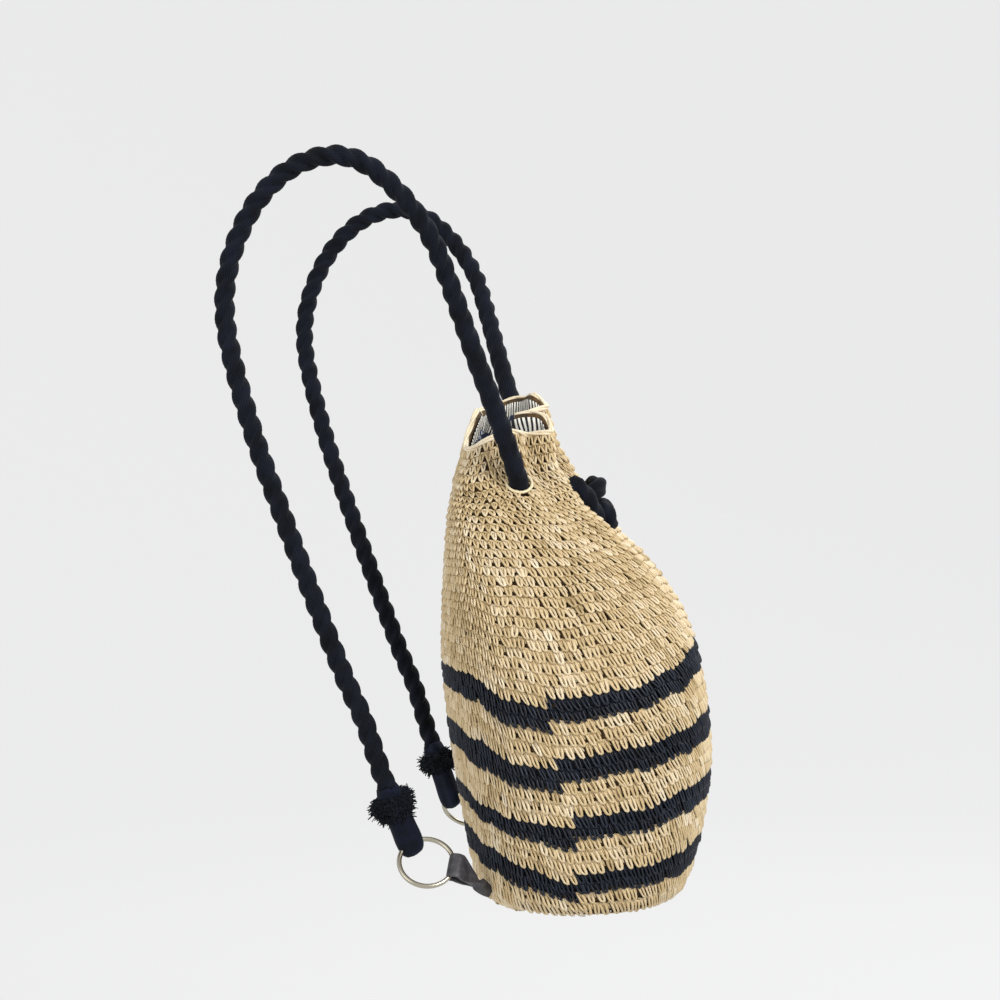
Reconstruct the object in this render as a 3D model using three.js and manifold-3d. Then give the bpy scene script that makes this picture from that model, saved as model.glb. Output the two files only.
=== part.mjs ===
// Straw bucket backpack: a crocheted sack with a printed lining, gathered at its mouth by the same thick
// rope that makes its two shoulder straps. Millimetres, +Z up, the wearer faces +Y and their left is -X.
// The origin lies midway between the undersides of the two straps where they rest on the shoulders.
import * as THREE from 'three';
import { mergeVertices } from 'three/addons/utils/BufferGeometryUtils.js';
import Module from 'manifold-3d';

const wasm = await Module();
wasm.setup();

// Driving sizes
const SACK_HEIGHT = 396; // base to the highest point of the rim
const SACK_WIDTH = 300; // side to side, at the widest
const SACK_DEPTH = 208; // back to front, at the widest
const HANG = 558; // the base below the shoulders
const BEHIND = 168; // the sack's middle behind the shoulders
const WALL = 3; // crocheted straw
const LINING = 1; // printed cotton
const LINING_SHARE = 0.975; // how far up the wall the lining reaches
const ROPE = 16; // diameter of the strap rope
const EYELET_LIP = 2.6; // thickness of the worked edge round a side hole
const LIP_PLAY = 1.4; // between that edge and the rope, which bends as it passes
const KNOT_SIZE = 46; // across the front knot
const KNOT_BEYOND = 16; // its middle, past the ends of the two ropes
const RING_OUTER = 45;
const RING_WIRE = 3.8;
const SLEEVE_WIDTH = 21; // the smooth folded rope end
const SLEEVE_THICK = 13;
const SLEEVE_LENGTH = 43;
const TUFT_REACH = 22; // frayed locks, from the rope's middle
const TAB_WIDTH = 22;
const LEATHER = 2.2; // one layer of the tab
const GAP = 0.3; // between pieces that touch

// Facets and probes
const COLUMNS = 42; // round the sack
const ROPE_SIDES = 10;
const ROPE_STEPS = 32; // along one strap, about two diameters each
const LOOP_SIDES = 8;
const LOOP_STEPS = 14; // once round a loop of the knot
const LIP_SIDES = 6;
const LIP_STEPS = 20;
const LIP_POINTS = 16; // of the curve round a side hole
const RING_SIDES = 6;
const RING_STEPS = 28;
const LOFT_SIDES = 10;
const LOFT_SQUARENESS = 0.6; // 1 is an ellipse, less is squarer
const PROBE_ANGLE = 1; // degrees to each side, for the direction out of the sack's face
const PROBE_RISE = 0.004; // shares of the height below and above, for the same
const HOLE_SEARCH = { from: 0.72, to: 0.95, step: 0.001 }; // shares of the rope where it enters the sack

// Sections of the sack from its base up. rise: share of SACK_HEIGHT. width, depth: the oval's shares of
// SACK_WIDTH and SACK_DEPTH. lean: the oval's middle towards the wearer, share of SACK_DEPTH.
// fold: how much of each fold of the mouth shows.
const SECTIONS = [
  { rise: 0.0, width: 0.83, depth: 0.71, lean: -0.012, fold: 0 },
  { rise: 0.018, width: 0.89, depth: 0.79, lean: -0.012, fold: 0 },
  { rise: 0.075, width: 0.94, depth: 0.855, lean: -0.016, fold: 0 },
  { rise: 0.16, width: 0.973, depth: 0.92, lean: -0.018, fold: 0 },
  { rise: 0.26, width: 0.995, depth: 0.975, lean: -0.012, fold: 0 },
  { rise: 0.38, width: 1.0, depth: 0.995, lean: 0.01, fold: 0.04 },
  { rise: 0.49, width: 0.96, depth: 0.97, lean: 0.039, fold: 0.13 },
  { rise: 0.57, width: 0.9, depth: 0.895, lean: 0.07, fold: 0.25 },
  { rise: 0.65, width: 0.79, depth: 0.77, lean: 0.122, fold: 0.4 },
  { rise: 0.715, width: 0.67, depth: 0.625, lean: 0.178, fold: 0.6 },
  { rise: 0.775, width: 0.54, depth: 0.51, lean: 0.225, fold: 0.8 },
  { rise: 0.82, width: 0.45, depth: 0.455, lean: 0.245, fold: 0.95 },
  { rise: 0.86, width: 0.4, depth: 0.4, lean: 0.265, fold: 1.05 },
  { rise: 0.91, width: 0.375, depth: 0.345, lean: 0.285, fold: 1.2 },
  { rise: 0.96, width: 0.375, depth: 0.32, lean: 0.284, fold: 1.35 },
  { rise: 1.0, width: 0.38, depth: 0.3, lean: 0.283, fold: 1.45 },
];

const RISES = [...SECTIONS.map((row) => row.rise), LINING_SHARE].sort((a, b) => a - b);

// Folds of the mouth, once round from the middle of the back over the wearer's left side. reach: how far a
// lobe stands out of the oval or a valley cuts in, share of the radius. drop: how far the rim hangs below
// its highest point, share of SACK_HEIGHT.
const FOLDS = [
  { angle: 0, reach: -0.12, drop: 0.015 }, // middle of the back
  { angle: 60, reach: 0.24, drop: 0.13 }, // left back lobe, flopped outward
  { angle: 98, reach: -0.08, drop: 0.08 }, // left eyelet
  { angle: 122, reach: -0.17, drop: 0.085 }, // left crease
  { angle: 148, reach: 0.18, drop: 0.08 }, // left front lobe
  { angle: 180, reach: -0.27, drop: 0.035 }, // front valley with the knot
  { angle: 214, reach: 0.16, drop: 0.02 }, // right front lobe
  { angle: 238, reach: -0.17, drop: 0.0 }, // right crease
  { angle: 262, reach: -0.08, drop: 0.005 }, // right eyelet
  { angle: 308, reach: 0.2, drop: 0.005 }, // right back lobe
  { angle: 360, reach: -0.12, drop: 0.015 }, // middle of the back again
];

// How much further the rim itself is pressed together, in the same terms
const PLEATS = [
  { angle: 0, reach: 0.03, drop: 0.02 },
  { angle: 28, reach: -0.06, drop: 0.005 },
  { angle: 60, reach: -0.2, drop: -0.015 }, // left back lobe drawn in
  { angle: 98, reach: -0.06, drop: 0 },
  { angle: 148, reach: -0.02, drop: 0 },
  { angle: 163, reach: 0.075, drop: -0.01 },
  { angle: 182, reach: -0.38, drop: 0.01 }, // front valley pressed deep between the lobes
  { angle: 198, reach: -0.28, drop: 0.008 },
  { angle: 214, reach: -0.2, drop: 0.005 },
  { angle: 238, reach: 0, drop: 0 },
  { angle: 262, reach: 0, drop: 0 },
  { angle: 308, reach: -0.35, drop: 0.025 }, // right back lobe drawn in
  { angle: 335, reach: -0.18, drop: 0.035 },
  { angle: 360, reach: 0.03, drop: 0.02 },
];
const OVAL_POWER = 2.35; // 2 is an ellipse, more is squarer
const DROP_START = 0.72; // the rim's drop sets in above this share of the height
const PLEAT_START = 0.88; // and its pleats above this one

// Route of one strap rope on the wearer's left, from its frayed end at the ring over the shoulder and into
// the side hole, then inside the mouth to the front hole and the knot. The right strap mirrors it.
const STRAP_ROUTE = [
  [-127, -30, -464],
  [-129, -23, -443],
  [-132, -13, -412],
  [-135, 0, -382],
  [-139, 23, -322],
  [-143, 45, -262],
  [-147, 66, -202],
  [-150, 82, -145],
  [-151, 88, -112],
  [-152, 87, -83],
  [-154, 78, -52],
  [-156, 62, -24],
  [-157, 40, -3],
  [-157, 20, 6],
  [-157, 0, 8],
  [-156, -18, 2],
  [-153, -34, -10],
  [-147, -52, -30],
  [-137, -67, -55],
  [-125, -77, -83],
  [-112, -86, -112],
  [-99, -95, -141],
  [-86, -105, -171],
  [-73, -115, -203],
  [-56, -123, -233],
  [-37, -124, -251],
  [-20, -131, -257],
  [-13, -146, -256],
  [-11, -160, -252],
];

// Hardware of one side, on the wearer's left
const RING_HANG = [0.016, -0.472, -0.881]; // the way from the rope's end to the ring's middle
const RING_FACING = [-0.72, -0.18, 0.67]; // the ring's axis
const TAB_SEAT_ANGLE = 58; // round the sack from the middle of the back
const TAB_SEAT_RISE = 0.03; // share of SACK_HEIGHT

// The smooth rope end, from under the ring's wire up to the strap. at: share of SLEEVE_LENGTH above the wire.
// width, thick: shares of SLEEVE_WIDTH and SLEEVE_THICK.
const SLEEVE_SECTIONS = [
  { at: -0.14, width: 0.55, thick: 0.5 },
  { at: -0.09, width: 0.85, thick: 0.8 },
  { at: 0.05, width: 1, thick: 1 },
  { at: 0.6, width: 0.95, thick: 1 },
  { at: 1, width: 1, thick: 1.25 },
  { at: 1.15, width: 0.8, thick: 1.1 },
];

// The frayed locks round the top of the smooth end
const LOCKS = { count: 9, tip: 0.15, root: 0.375, sides: 5 }; // tip, root: radii as shares of ROPE
const LOCK_HEIGHT = { middle: 0.72, swing: 0.2, waves: 5 }; // shares of SLEEVE_LENGTH
const LOCK_REACH = { least: 0.62, more: 0.38 }; // shares of TUFT_REACH, most across the folded end
const LOCK_RISE = { middle: -0.45, swing: 0.3, waves: 3 }; // how far each points up the rope

// The tab's fold round the ring's wire. at: share of the way from the fold's end to the wire. width: share of
// TAB_WIDTH. thick: share of the fold's full thickness.
const FOLD_SECTIONS = [
  { at: 0, width: 0.8, thick: 0.5 },
  { at: 0.35, width: 1, thick: 0.9 },
];

// The tab between the ring and the sack. at: share of the way. width: share of TAB_WIDTH. turned: from
// across the ring towards straight down.
const TAB_SECTIONS = [
  { at: 0.45, width: 0.72, turned: 0.25 },
  { at: 0.75, width: 0.6, turned: 0.6 },
  { at: 1, width: 0.55, turned: 0.8 },
];

// The loops of the front knot: turns about Y and X in radians, and the shift from the knot's middle as shares
// of KNOT_SIZE
const BIGHTS = [
  { turn: 0.5, tilt: 1.1, shift: [0, 0, 0.087] },
  { turn: -0.9, tilt: 0.3, shift: [0.043, -0.065, -0.087] },
];
const BIGHT = { points: 10, long: 1.05, short: 0.55, bow: 0.13 }; // long, short, bow: shares of its radius

const mix = (a, b, share) => a + (b - a) * share;
const radians = THREE.MathUtils.degToRad;

// A smooth curve through one column of a table, with its slope averaged at each row
function along(table, by, column, at) {
  const last = table.length - 1;
  const x = THREE.MathUtils.clamp(at, table[0][by], table[last][by]);
  let i = 0;
  while (i < last - 1 && x > table[i + 1][by]) i += 1;
  const slope = (k) => {
    const a = table[Math.max(k - 1, 0)];
    const b = table[Math.min(k + 1, last)];
    return (b[column] - a[column]) / (b[by] - a[by]);
  };
  const a = table[i];
  const b = table[i + 1];
  const span = b[by] - a[by];
  const u = (x - a[by]) / span;
  const rest = 1 - u;
  return (
    a[column] * (1 + 2 * u) * rest * rest +
    slope(i) * span * u * rest * rest +
    b[column] * u * u * (3 - 2 * u) -
    slope(i + 1) * span * u * u * rest
  );
}

// A fold's value between two rows of its table, level at each row, so that lobes and valleys are rounded
function foldAt(table, angle, column) {
  const turn = ((angle % 360) + 360) % 360;
  let i = 0;
  while (i < table.length - 2 && turn > table[i + 1].angle) i += 1;
  const u = (turn - table[i].angle) / (table[i + 1].angle - table[i].angle);
  return mix(table[i][column], table[i + 1][column], (1 - Math.cos(Math.PI * u)) / 2);
}

// How far the face hangs below its rise at an angle round the sack, share of SACK_HEIGHT
function droopAt(angle, rise) {
  const fold = THREE.MathUtils.smoothstep(rise, DROP_START, 1) * foldAt(FOLDS, angle, 'drop');
  return fold + THREE.MathUtils.smoothstep(rise, PLEAT_START, 1) * foldAt(PLEATS, angle, 'drop');
}

// The outer face of the sack at an angle round it, in degrees, and a share of its height
function sackPoint(angle, rise) {
  const halfWidth = (along(SECTIONS, 'rise', 'width', rise) * SACK_WIDTH) / 2;
  const halfDepth = (along(SECTIONS, 'rise', 'depth', rise) * SACK_DEPTH) / 2;
  const lean = along(SECTIONS, 'rise', 'lean', rise) * SACK_DEPTH;
  const pleat = THREE.MathUtils.smoothstep(rise, PLEAT_START, 1) * foldAt(PLEATS, angle, 'reach');
  const fold = 1 + along(SECTIONS, 'rise', 'fold', rise) * foldAt(FOLDS, angle, 'reach') + pleat;
  const side = -Math.sin(radians(angle));
  const back = Math.cos(radians(angle));
  const [sideShare, backShare] = [Math.abs(side / halfWidth), Math.abs(back / halfDepth)];
  const oval = (sideShare ** OVAL_POWER + backShare ** OVAL_POWER) ** (-1 / OVAL_POWER);
  return new THREE.Vector3(
    side * oval * fold,
    lean - BEHIND + back * oval * fold,
    (rise - droopAt(angle, rise)) * SACK_HEIGHT - HANG,
  );
}

// The direction out of the sack's outer face
function sackNormal(angle, rise) {
  const low = Math.max(rise - PROBE_RISE, 0);
  const high = Math.min(rise + PROBE_RISE, 1);
  const around = sackPoint(angle + PROBE_ANGLE, rise).sub(sackPoint(angle - PROBE_ANGLE, rise));
  const upward = sackPoint(angle, high).sub(sackPoint(angle, low));
  return around.cross(upward).normalize();
}

// One closed body through rings of points; the first and last rings are single points. The facets of the
// rings after the turn lean the other way, so that a wall's two faces have the same facets.
function throughRings(rings, turn = rings.length) {
  const corners = [];
  const faces = [];
  const starts = rings.map((ring) => {
    corners.push(...ring);
    return corners.length - ring.length;
  });
  for (let r = 0; r < rings.length - 1; r += 1) {
    const [a, b] = [rings[r].length, rings[r + 1].length];
    const lean = r < turn ? 0 : 1;
    for (let i = 0; i < Math.max(a, b); i += 1) {
      const next = i + 1;
      const low = starts[r] + ((i + lean) % a);
      const high = starts[r + 1] + ((next - lean) % b);
      if (b > 1) faces.push([low, starts[r + 1] + (next % b), starts[r + 1] + (i % b)]);
      if (a > 1) faces.push([starts[r] + (i % a), starts[r] + (next % a), high]);
    }
  }
  const geometry = new THREE.BufferGeometry();
  geometry.setAttribute('position', new THREE.Float32BufferAttribute(corners.flatMap((p) => p.toArray()), 3));
  geometry.setIndex(faces.flat());
  return geometry;
}

// A ring of the sack, that deep under its outer face and never lower than that above its base
function sackRing(rise, deep) {
  const ring = [];
  for (let i = 0; i < COLUMNS; i += 1) {
    const angle = (i * 360) / COLUMNS;
    const point = sackPoint(angle, rise).addScaledVector(sackNormal(angle, rise), -deep);
    point.z = Math.max(point.z, deep - HANG);
    ring.push(point);
  }
  return ring;
}

// An open sack between two depths under the outer face, up to a share of its height
function sackShell(outside, inside, top) {
  const floor = (deep) => deep / SACK_HEIGHT;
  const above = (deep) => RISES.filter((rise) => rise > floor(deep) + PROBE_RISE && rise <= top);
  const centre = (deep) => [new THREE.Vector3(0, SECTIONS[0].lean * SACK_DEPTH - BEHIND, deep - HANG)];
  const face = (deep) => [floor(deep), ...above(deep)].map((rise) => sackRing(rise, deep));
  const outer = face(outside);
  const inner = face(inside);
  return throughRings([centre(outside), ...outer, ...inner.reverse(), centre(inside)], outer.length);
}

const toSolid = (geometry) => {
  const bare = geometry.clone();
  bare.deleteAttribute('normal');
  bare.deleteAttribute('uv');
  const merged = mergeVertices(bare, 1e-4);
  return new wasm.Manifold(
    new wasm.Mesh({
      numProp: 3,
      vertProperties: new Float32Array(merged.attributes.position.array),
      triVerts: new Uint32Array(merged.index.array),
    }),
  );
};

const fromSolid = (solid) => {
  const { vertProperties, triVerts } = solid.getMesh();
  const geometry = new THREE.BufferGeometry();
  geometry.setAttribute('position', new THREE.BufferAttribute(vertProperties, 3));
  geometry.setIndex(new THREE.BufferAttribute(triVerts, 1));
  geometry.computeVertexNormals();
  return geometry;
};

const joined = (geometries) => geometries.map(toSolid).reduce((sum, solid) => sum.add(solid));
const cutBy = (solid, tools) => tools.reduce((rest, tool) => rest.subtract(toSolid(tool)), solid);
const largest = (solid) => solid.decompose().reduce((a, b) => (a.volume() > b.volume() ? a : b));

const vectors = (points) => points.map((p) => new THREE.Vector3(...p));
const mirrored = (points) => points.map(([x, y, z]) => [-x, y, z]);

// A round bar along a smooth curve
function tube(curve, radius, steps, sides = ROPE_SIDES) {
  const section = new THREE.Shape();
  for (let i = 0; i < sides; i += 1) {
    const turn = (i / sides) * 2 * Math.PI;
    const corner = [radius * Math.cos(turn), radius * Math.sin(turn)];
    if (i === 0) section.moveTo(...corner);
    else section.lineTo(...corner);
  }
  const options = { steps, extrudePath: curve, bevelEnabled: false, curveSegments: 1 };
  return new THREE.ExtrudeGeometry(section, options);
}

// A round bar along a closed curve, joined to itself
function loopTube(curve, radius, steps, sides) {
  const frames = curve.computeFrenetFrames(steps, true);
  const corners = [];
  const faces = [];
  for (let s = 0; s < steps; s += 1) {
    const middle = curve.getPointAt(s / steps);
    const next = ((s + 1) % steps) * sides;
    for (let i = 0; i < sides; i += 1) {
      const turn = (i / sides) * 2 * Math.PI;
      const corner = middle
        .clone()
        .addScaledVector(frames.normals[s], radius * Math.cos(turn))
        .addScaledVector(frames.binormals[s], radius * Math.sin(turn));
      const [here, beside] = [s * sides + i, s * sides + ((i + 1) % sides)];
      const [ahead, across] = [next + i, next + ((i + 1) % sides)];
      corners.push(...corner.toArray());
      faces.push(here, beside, across, here, across, ahead);
    }
  }
  const geometry = new THREE.BufferGeometry();
  geometry.setAttribute('position', new THREE.Float32BufferAttribute(corners, 3));
  geometry.setIndex(faces);
  return geometry;
}

const strapCurve = (route) => new THREE.CatmullRomCurve3(vectors(route), false, 'centripetal');
const strapTube = (route, spare) => tube(strapCurve(route), ROPE / 2 + spare, ROPE_STEPS);

// How far a point lies outside the sack's face, and the direction out of the face there
function nearestFace(point) {
  const rise = (point.z + HANG) / SACK_HEIGHT;
  const middle = along(SECTIONS, 'rise', 'lean', rise) * SACK_DEPTH - BEHIND;
  const angle = THREE.MathUtils.radToDeg(Math.atan2(-point.x, point.y - middle));
  const raised = rise + droopAt(angle, rise);
  const normal = sackNormal(angle, raised);
  return { distance: point.clone().sub(sackPoint(angle, raised)).dot(normal), normal };
}

// The worked edge of a side hole: the rope's slanting outline where it crosses the sack's face
function eyeletCurve(route, grow) {
  const curve = strapCurve(route);
  let cross = HOLE_SEARCH.from;
  let best = Infinity;
  for (let u = HOLE_SEARCH.from; u < HOLE_SEARCH.to; u += HOLE_SEARCH.step) {
    const point = curve.getPointAt(u);
    const away = Math.abs(nearestFace(point).distance);
    if (away < best) [best, cross] = [away, u];
  }
  const middle = curve.getPointAt(cross);
  const rope = curve.getTangentAt(cross);
  const { normal } = nearestFace(middle);
  const across = new THREE.Vector3().crossVectors(rope, normal).normalize();
  const upright = new THREE.Vector3().crossVectors(across, rope).normalize();
  const points = [];
  for (let i = 0; i < LIP_POINTS; i += 1) {
    const turn = (i / LIP_POINTS) * 2 * Math.PI;
    const onRope = middle
      .clone()
      .addScaledVector(across, grow * Math.cos(turn))
      .addScaledVector(upright, grow * Math.sin(turn));
    const slide = -onRope.clone().sub(middle).dot(normal) / rope.dot(normal);
    points.push(onRope.addScaledVector(rope, slide).addScaledVector(normal, EYELET_LIP / 3));
  }
  return new THREE.CatmullRomCurve3(points, true, 'centripetal');
}

// A frame of three directions from the first one and a second that is only a hint
function axes(first, hint) {
  const x = new THREE.Vector3(...first).normalize();
  const z = x.clone().cross(new THREE.Vector3(...hint)).normalize();
  return [x, z.clone().cross(x).normalize(), z];
}

// A lofted bar of rounded-oblong sections: each has its middle, half-width and half-thickness directions
function loft(sections) {
  const square = (v) => Math.sign(v) * Math.abs(v) ** LOFT_SQUARENESS;
  const rings = sections.map(({ middle, wide, thick }) => {
    const ring = [];
    for (let i = 0; i < LOFT_SIDES; i += 1) {
      const turn = (i / LOFT_SIDES) * 2 * Math.PI;
      ring.push(
        middle
          .clone()
          .addScaledVector(wide, square(Math.cos(turn)))
          .addScaledVector(thick, square(Math.sin(turn))),
      );
    }
    return ring;
  });
  return throughRings([[sections[0].middle], ...rings, [sections.at(-1).middle]]);
}

// Everything on one side is worked out on the wearer's left and mirrored in X for the right
const SIDES = [
  { name: 'left', mirror: 1, route: STRAP_ROUTE },
  { name: 'right', mirror: -1, route: mirrored(STRAP_ROUTE) },
];

const ringRadius = (RING_OUTER - RING_WIRE) / 2;
const ringPlace = new THREE.Vector3(...RING_HANG)
  .setLength(SLEEVE_LENGTH + ringRadius)
  .add(new THREE.Vector3(...STRAP_ROUTE[0]));

function ringGeometry(mirror, spare) {
  const [facing, up, side] = axes(RING_FACING, [0, 0, 1]);
  const geometry = new THREE.TorusGeometry(ringRadius, RING_WIRE / 2 + spare, RING_SIDES, RING_STEPS);
  geometry.applyMatrix4(new THREE.Matrix4().makeBasis(up, side, facing));
  geometry.translate(...ringPlace.toArray());
  return mirror > 0 ? geometry : flipped(geometry);
}

// A geometry mirrored in X, with its faces turned to point outward again
function flipped(geometry) {
  const copy = geometry.index ? geometry.clone() : mergeVertices(geometry.clone());
  copy.scale(-1, 1, 1);
  const order = copy.index.array;
  for (let i = 0; i < order.length; i += 3) [order[i + 1], order[i + 2]] = [order[i + 2], order[i + 1]];
  return copy;
}

// The rope's folded end, from where the strap stops to the top of the ring
function ropeEnd(side) {
  const top = new THREE.Vector3(...STRAP_ROUTE[0]);
  const [facing] = axes(RING_FACING, [0, 0, 1]);
  const toRope = top.clone().sub(ringPlace);
  toRope.addScaledVector(facing, -toRope.dot(facing)).normalize();
  const hook = ringPlace.clone().addScaledVector(toRope, ringRadius);
  const run = top.clone().sub(hook).normalize();
  const wide = facing.clone().cross(run).normalize();
  const thick = run.clone().cross(wide).normalize();
  const sleeve = loft(
    SLEEVE_SECTIONS.map((row) => ({
      middle: hook.clone().addScaledVector(run, row.at * SLEEVE_LENGTH),
      wide: wide.clone().multiplyScalar((row.width * SLEEVE_WIDTH) / 2),
      thick: thick.clone().multiplyScalar((row.thick * SLEEVE_THICK) / 2),
    })),
  );
  const locks = [];
  for (let i = 0; i < LOCKS.count; i += 1) {
    const turn = (i / LOCKS.count) * 2 * Math.PI;
    const out = wide.clone().multiplyScalar(Math.cos(turn)).addScaledVector(thick, Math.sin(turn));
    const height = LOCK_HEIGHT.middle + LOCK_HEIGHT.swing * Math.sin(LOCK_HEIGHT.waves * turn);
    const root = hook.clone().addScaledVector(run, height * SLEEVE_LENGTH);
    const reach = TUFT_REACH * (LOCK_REACH.least + LOCK_REACH.more * Math.cos(turn) ** 2);
    const lock = new THREE.CylinderGeometry(LOCKS.tip * ROPE, LOCKS.root * ROPE, reach, LOCKS.sides, 1);
    lock.translate(0, reach / 2, 0);
    const upward = LOCK_RISE.middle + LOCK_RISE.swing * Math.cos(LOCK_RISE.waves * turn);
    const aim = out.addScaledVector(run, upward).normalize();
    lock.applyQuaternion(new THREE.Quaternion().setFromUnitVectors(new THREE.Vector3(0, 1, 0), aim));
    lock.translate(...root.toArray());
    locks.push(lock);
  }
  const whole = joined([sleeve, ...locks]);
  const seated = cutBy(whole, [ringGeometry(1, GAP), strapTube(STRAP_ROUTE, GAP)]);
  const geometry = fromSolid(largest(seated));
  return side.mirror > 0 ? geometry : flipped(geometry);
}

// The leather tab: folded round the ring, drawn together, twisted a little and sewn to the sack's corner
function tab(side) {
  const [facing] = axes(RING_FACING, [0, 0, 1]);
  const seatNormal = sackNormal(TAB_SEAT_ANGLE, TAB_SEAT_RISE);
  const seat = sackPoint(TAB_SEAT_ANGLE, TAB_SEAT_RISE).addScaledVector(seatNormal, GAP + LEATHER);
  const toSack = seat.clone().sub(ringPlace);
  toSack.addScaledVector(facing, -toSack.dot(facing)).normalize();
  const hook = ringPlace.clone().addScaledVector(toSack, ringRadius);
  const wide = facing.clone().cross(toSack).normalize();
  const eye = RING_WIRE / 2 + GAP + LEATHER; // half the thickness of the fold round the wire
  const inner = hook.clone().addScaledVector(toSack, -eye);
  const down = new THREE.Vector3(0, 0, -1);
  const section = (middle, width, depth, turned) => {
    const across = wide.clone().lerp(down, turned).normalize();
    const out = toSack.clone().cross(across).normalize();
    return {
      middle,
      wide: across.multiplyScalar(width / 2),
      thick: out.multiplyScalar(depth),
    };
  };
  const strip = loft([
    ...FOLD_SECTIONS.map(({ at, width, thick }) =>
      section(inner.clone().lerp(hook, at), TAB_WIDTH * width, eye * thick, 0),
    ),
    section(hook.clone().addScaledVector(toSack, eye), TAB_WIDTH, eye, 0),
    ...TAB_SECTIONS.map(({ at, width, turned }) =>
      section(hook.clone().lerp(seat, at), TAB_WIDTH * width, LEATHER, turned),
    ),
  ]);
  const solid = toSolid(strip).subtract(toSolid(sackBlock(GAP))).subtract(toSolid(ringGeometry(1, GAP)));
  const geometry = fromSolid(largest(solid));
  return side.mirror > 0 ? geometry : flipped(geometry);
}

// The sack's outer form, filled and that much larger, to keep what lies on it clear of its face
function sackBlock(spare) {
  const rings = RISES.map((rise) => sackRing(rise, 0).map((p, i) => {
    const angle = (i * 360) / COLUMNS;
    return p.addScaledVector(sackNormal(angle, rise), spare);
  }));
  const level = (z) => [new THREE.Vector3(0, SECTIONS[0].lean * SACK_DEPTH - BEHIND, z)];
  return throughRings([level(-HANG - spare), ...rings, level(SACK_HEIGHT - HANG)]);
}

// The front knot: bights of rope that cross over each other, with the two strap ends inside
function knot() {
  const half = (KNOT_SIZE - ROPE) / 2;
  const [, endY, endZ] = STRAP_ROUTE.at(-1);
  const place = new THREE.Vector3(0, endY - KNOT_BEYOND, endZ);
  const bight = ({ turn, tilt, shift }) => {
    const matrix = new THREE.Matrix4().makeRotationFromEuler(new THREE.Euler(tilt, turn, 0));
    const loop = [];
    for (let i = 0; i < BIGHT.points; i += 1) {
      const a = (i / BIGHT.points) * 2 * Math.PI;
      const [long, short] = [Math.cos(a) * half * BIGHT.long, Math.sin(a) * half * BIGHT.short];
      const point = new THREE.Vector3(long, short, Math.sin(a) * half * BIGHT.bow).applyMatrix4(matrix);
      loop.push(point.add(place).addScaledVector(new THREE.Vector3(...shift), KNOT_SIZE));
    }
    return loopTube(new THREE.CatmullRomCurve3(loop, true, 'centripetal'), ROPE / 2, LOOP_STEPS, LOOP_SIDES);
  };
  const whole = joined(BIGHTS.map(bight));
  const ends = SIDES.map((side) => strapTube(side.route, GAP));
  return largest(cutBy(whole, [...ends, sackBlock(GAP)]));
}

// Materials: a plain finish for each real one
const finish = (color, roughness, metalness = 0) =>
  new THREE.MeshStandardMaterial({ color, roughness, metalness });
const STRAW = finish('#d2b47c', 0.8);
const COTTON = finish('#8f93a6', 0.9);
const NAVY_ROPE = finish('#1b2133', 0.95);
const PALE_THREAD = finish('#e6e0cf', 0.7);
const NICKEL = finish('#aaa69a', 0.35, 1);
const LEATHER_TAB = finish('#3d3c40', 0.65);

const backpack = new THREE.Group();
const add = (name, geometry, material) => {
  const mesh = new THREE.Mesh(geometry, material);
  mesh.name = name;
  backpack.add(mesh);
};

const ropeHoles = SIDES.map((side) => strapTube(side.route, GAP));
const lipGrow = ROPE / 2 + LIP_PLAY + EYELET_LIP / 2;
const lip = (side, spare) =>
  loopTube(eyeletCurve(side.route, lipGrow), EYELET_LIP / 2 + spare, LIP_STEPS, LIP_SIDES);
const lipSeats = SIDES.map((side) => lip(side, GAP));

const strawShell = toSolid(sackShell(0, WALL, 1));
add('straw_body', fromSolid(largest(cutBy(strawShell, [...ropeHoles, ...lipSeats]))), STRAW);
const liningShell = toSolid(sackShell(WALL + GAP, WALL + GAP + LINING, LINING_SHARE));
add('lining', fromSolid(largest(cutBy(liningShell, [...ropeHoles, ...lipSeats]))), COTTON);
SIDES.forEach((side) => {
  add(`eyelet_edge_${side.name}`, lip(side, 0), PALE_THREAD);
  add(`strap_rope_${side.name}`, strapTube(side.route, 0), NAVY_ROPE);
  add(`rope_end_${side.name}`, ropeEnd(side), NAVY_ROPE);
  add(`ring_${side.name}`, ringGeometry(side.mirror, 0), NICKEL);
  add(`tab_${side.name}`, tab(side), LEATHER_TAB);
});
add('front_knot', fromSolid(knot()), NAVY_ROPE);

export default backpack;
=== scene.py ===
"""The looks of a crocheted straw bucket backpack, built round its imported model.

Metres, +Z up. The wearer faces +Y and their left is -X, and the origin lies between the undersides of
the two straps where they rest on the shoulders. Angles round the sack start at the middle of its back
and run over the wearer's left side. A rise is a share of the sack's height above its base.
"""

import logging
import math
from dataclasses import dataclass, field
from enum import Enum
from typing import Any, Callable, Sequence

import bmesh
import bpy
import numpy as np
from mathutils import Matrix, Vector


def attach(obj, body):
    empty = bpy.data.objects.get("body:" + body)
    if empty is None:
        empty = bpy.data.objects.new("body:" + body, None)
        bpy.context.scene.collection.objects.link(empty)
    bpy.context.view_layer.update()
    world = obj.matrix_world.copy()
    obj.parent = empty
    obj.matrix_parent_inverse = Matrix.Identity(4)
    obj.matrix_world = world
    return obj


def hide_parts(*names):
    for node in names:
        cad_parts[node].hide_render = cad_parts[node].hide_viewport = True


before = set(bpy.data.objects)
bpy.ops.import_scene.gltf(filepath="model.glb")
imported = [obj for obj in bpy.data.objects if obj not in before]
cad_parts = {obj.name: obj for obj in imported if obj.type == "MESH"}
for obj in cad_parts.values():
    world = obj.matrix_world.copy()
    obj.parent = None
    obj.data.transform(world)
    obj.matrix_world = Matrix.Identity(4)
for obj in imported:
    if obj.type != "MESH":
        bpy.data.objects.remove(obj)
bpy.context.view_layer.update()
log = logging.getLogger("backpack")

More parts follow.
